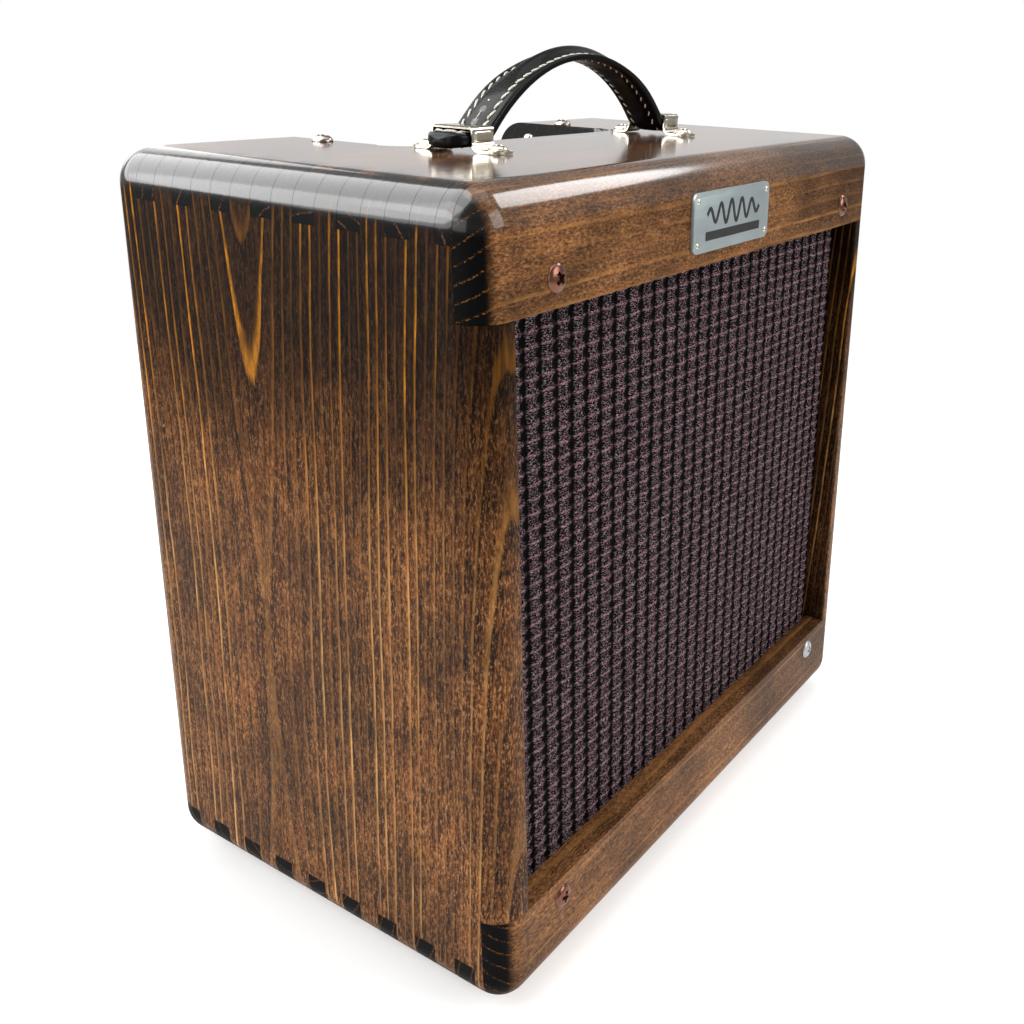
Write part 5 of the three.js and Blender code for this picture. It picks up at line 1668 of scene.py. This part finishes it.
def make_surround():
    """Half-round rubber roll, with a short lip that laps the moving cone."""
    centre, reach = 87.05, 2.75
    turns = np.linspace(0, math.pi, 14)

    def roll(radius):
        return [(centre - radius * math.cos(a), 1 - radius * math.sin(a)) for a in turns]

    outline = [*roll(reach), *reversed(roll(reach - 0.7)), (85.0, 3.0), (84.3, 3.0)]
    bm = turned(bmesh.new(), outline, ROUND)
    piece("speaker_surround_roll", bm, RUBBER_SOFT,
          replaces=["speaker_surround"], place=SPEAKER)


make_basket()
make_magnet()
make_cone()
make_surround()

# ------------------------------------------------------------------ camera, floor and light


CAMERA_PLACE = (-0.44325, -0.28787, 0.36428)    # the camera as solved from the photograph
CAMERA_TURN = (-55.22, 23.26, 1.71)             # yaw, pitch down and roll, in degrees
LENS, SENSOR = 39.375, 36.0
LENS_SHIFT = (-0.00796, 0.01223)


def make_camera():
    data = bpy.data.cameras.new("camera")
    data.sensor_width = SENSOR
    data.lens = LENS
    data.shift_x, data.shift_y = LENS_SHIFT
    data.clip_start = 0.01
    camera = bpy.data.objects.new("camera", data)
    yaw, pitch, roll = (math.radians(a) for a in CAMERA_TURN)
    tilted = Matrix.Rotation(yaw, 4, "Z") @ Matrix.Rotation(math.pi / 2 - pitch, 4, "X")
    turn = tilted @ Matrix.Rotation(roll, 4, "Z")
    camera.matrix_world = shift(*CAMERA_PLACE) @ turn
    bpy.context.scene.collection.objects.link(camera)
    bpy.context.scene.camera = camera


FLOOR_REACH = 1.0                 # radius of the floor disc, in metres


def make_floor():
    mesh = bpy.data.meshes.new("floor")
    rim = [(x, y, 0) for x, y in polygon(128, FLOOR_REACH)]
    mesh.from_pydata(rim, [], [tuple(range(len(rim)))])
    glow = dict(Emission_Color=(1, 1, 1, 1), Emission_Strength=0.42)
    s = Surface("pale_floor", Specular_IOR_Level=0.1, **glow)
    speck = s.noise(s.millimetres(), 0.01, detail=4.0)
    s.link(s.blend(speck, colour("eeeeec"), colour("f6f6f4")), "Base Color")
    s.link(s.spread(speck, 0.0, 1.0, 0.7, 0.85), "Roughness")
    mesh.materials.append(s.material)
    floor = bpy.data.objects.new("floor", mesh)
    bpy.context.scene.collection.objects.link(floor)


def softbox(name, place, aim, size, radiance, card=False):
    """An area light facing aim; a card is oval and shows only in reflections."""
    data = bpy.data.lights.new(name, "AREA")
    data.shape = "ELLIPSE" if card else "RECTANGLE"
    data.size, data.size_y = size
    data.energy = radiance * math.pi * size[0] * size[1]
    light = bpy.data.objects.new(name, data)
    light.location = place
    light.rotation_euler = (Vector(aim) - Vector(place)).to_track_quat("-Z", "Y").to_euler()
    light.visible_diffuse = not card
    bpy.context.scene.collection.objects.link(light)


AMBIENT = 0.32                    # brightness of the room elsewhere
BACKDROP = 0.85                   # brightness of the white backdrop low behind the object


def make_light():
    world = bpy.data.worlds.new("studio")
    bpy.context.scene.world = world
    world.use_nodes = True
    tree = world.node_tree

    def node(kind, inputs=(), **settings):
        made = tree.nodes.new(kind)
        for key, value in settings.items():
            setattr(made, key, value)
        for key, value in dict(inputs).items():
            if isinstance(value, bpy.types.NodeSocket):
                tree.links.new(value, made.inputs[key])
            else:
                made.inputs[key].default_value = value
        return made.outputs

    direction = node("ShaderNodeTexCoord")["Generated"]
    height = node("ShaderNodeSeparateXYZ", {0: direction})["Z"]
    low = {"Value": height, "From Min": 0.4, "From Max": 0.12, "To Min": 0.0, "To Max": 1.0}
    near_horizon = node("ShaderNodeMapRange", low, interpolation_type="SMOOTHSTEP")[0]
    away = {0: direction, 1: (0.82, 0.57, 0.0)}    # level, and away from the camera
    behind = node("ShaderNodeVectorMath", away, operation="DOT_PRODUCT")["Value"]
    side = {"Value": behind, "From Min": 0.6, "From Max": 0.9, "To Min": 0.15, "To Max": 1.0}
    toward = node("ShaderNodeMapRange", side, interpolation_type="SMOOTHSTEP")[0]
    share = node("ShaderNodeMath", {0: near_horizon, 1: toward}, operation="MULTIPLY")[0]
    lit = node("ShaderNodeMix", {0: share, 2: AMBIENT, 3: BACKDROP})[0]
    seen = node("ShaderNodeLightPath")["Is Camera Ray"]
    strength = node("ShaderNodeMix", {0: seen, 2: lit, 3: 1.0})[0]
    background = tree.nodes["Background"]
    background.inputs["Color"].default_value = (1, 1, 1, 1)
    tree.links.new(strength, background.inputs["Strength"])
    aim = (0, 0, 0.16)
    softbox("softbox_above_left", (-0.9, 0.3, 1.0), aim, (0.9, 0.7), 3.4)
    softbox("softbox_front", (0.55, -1.5, 1.0), aim, (1.1, 1.0), 4.6)
    softbox("softbox_left", (-1.7, -0.3, 0.7), aim, (0.9, 0.9), 2.2)
    softbox("softbox_above", (0.2, -0.1, 1.5), aim, (1.0, 1.0), 1.6)
    softbox("softbox_rear", (0.5, 1.6, 0.9), aim, (1.0, 0.9), 2.4)
    edge = (-0.15, 0.0, 0.3)
    softbox("card_above_left", (-0.58, 0.57, 1.12), edge, (1.7, 2.2), 5.6, card=True)
    softbox("card_left", (-0.95, 0.55, 0.62), edge, (0.9, 0.7), 3.6, card=True)
    softbox("card_right", (0.88, -0.25, 0.98), edge, (0.62, 0.34), 6.0, card=True)


make_camera()
make_floor()
make_light()
bpy.context.scene.view_settings.view_transform = "Standard"
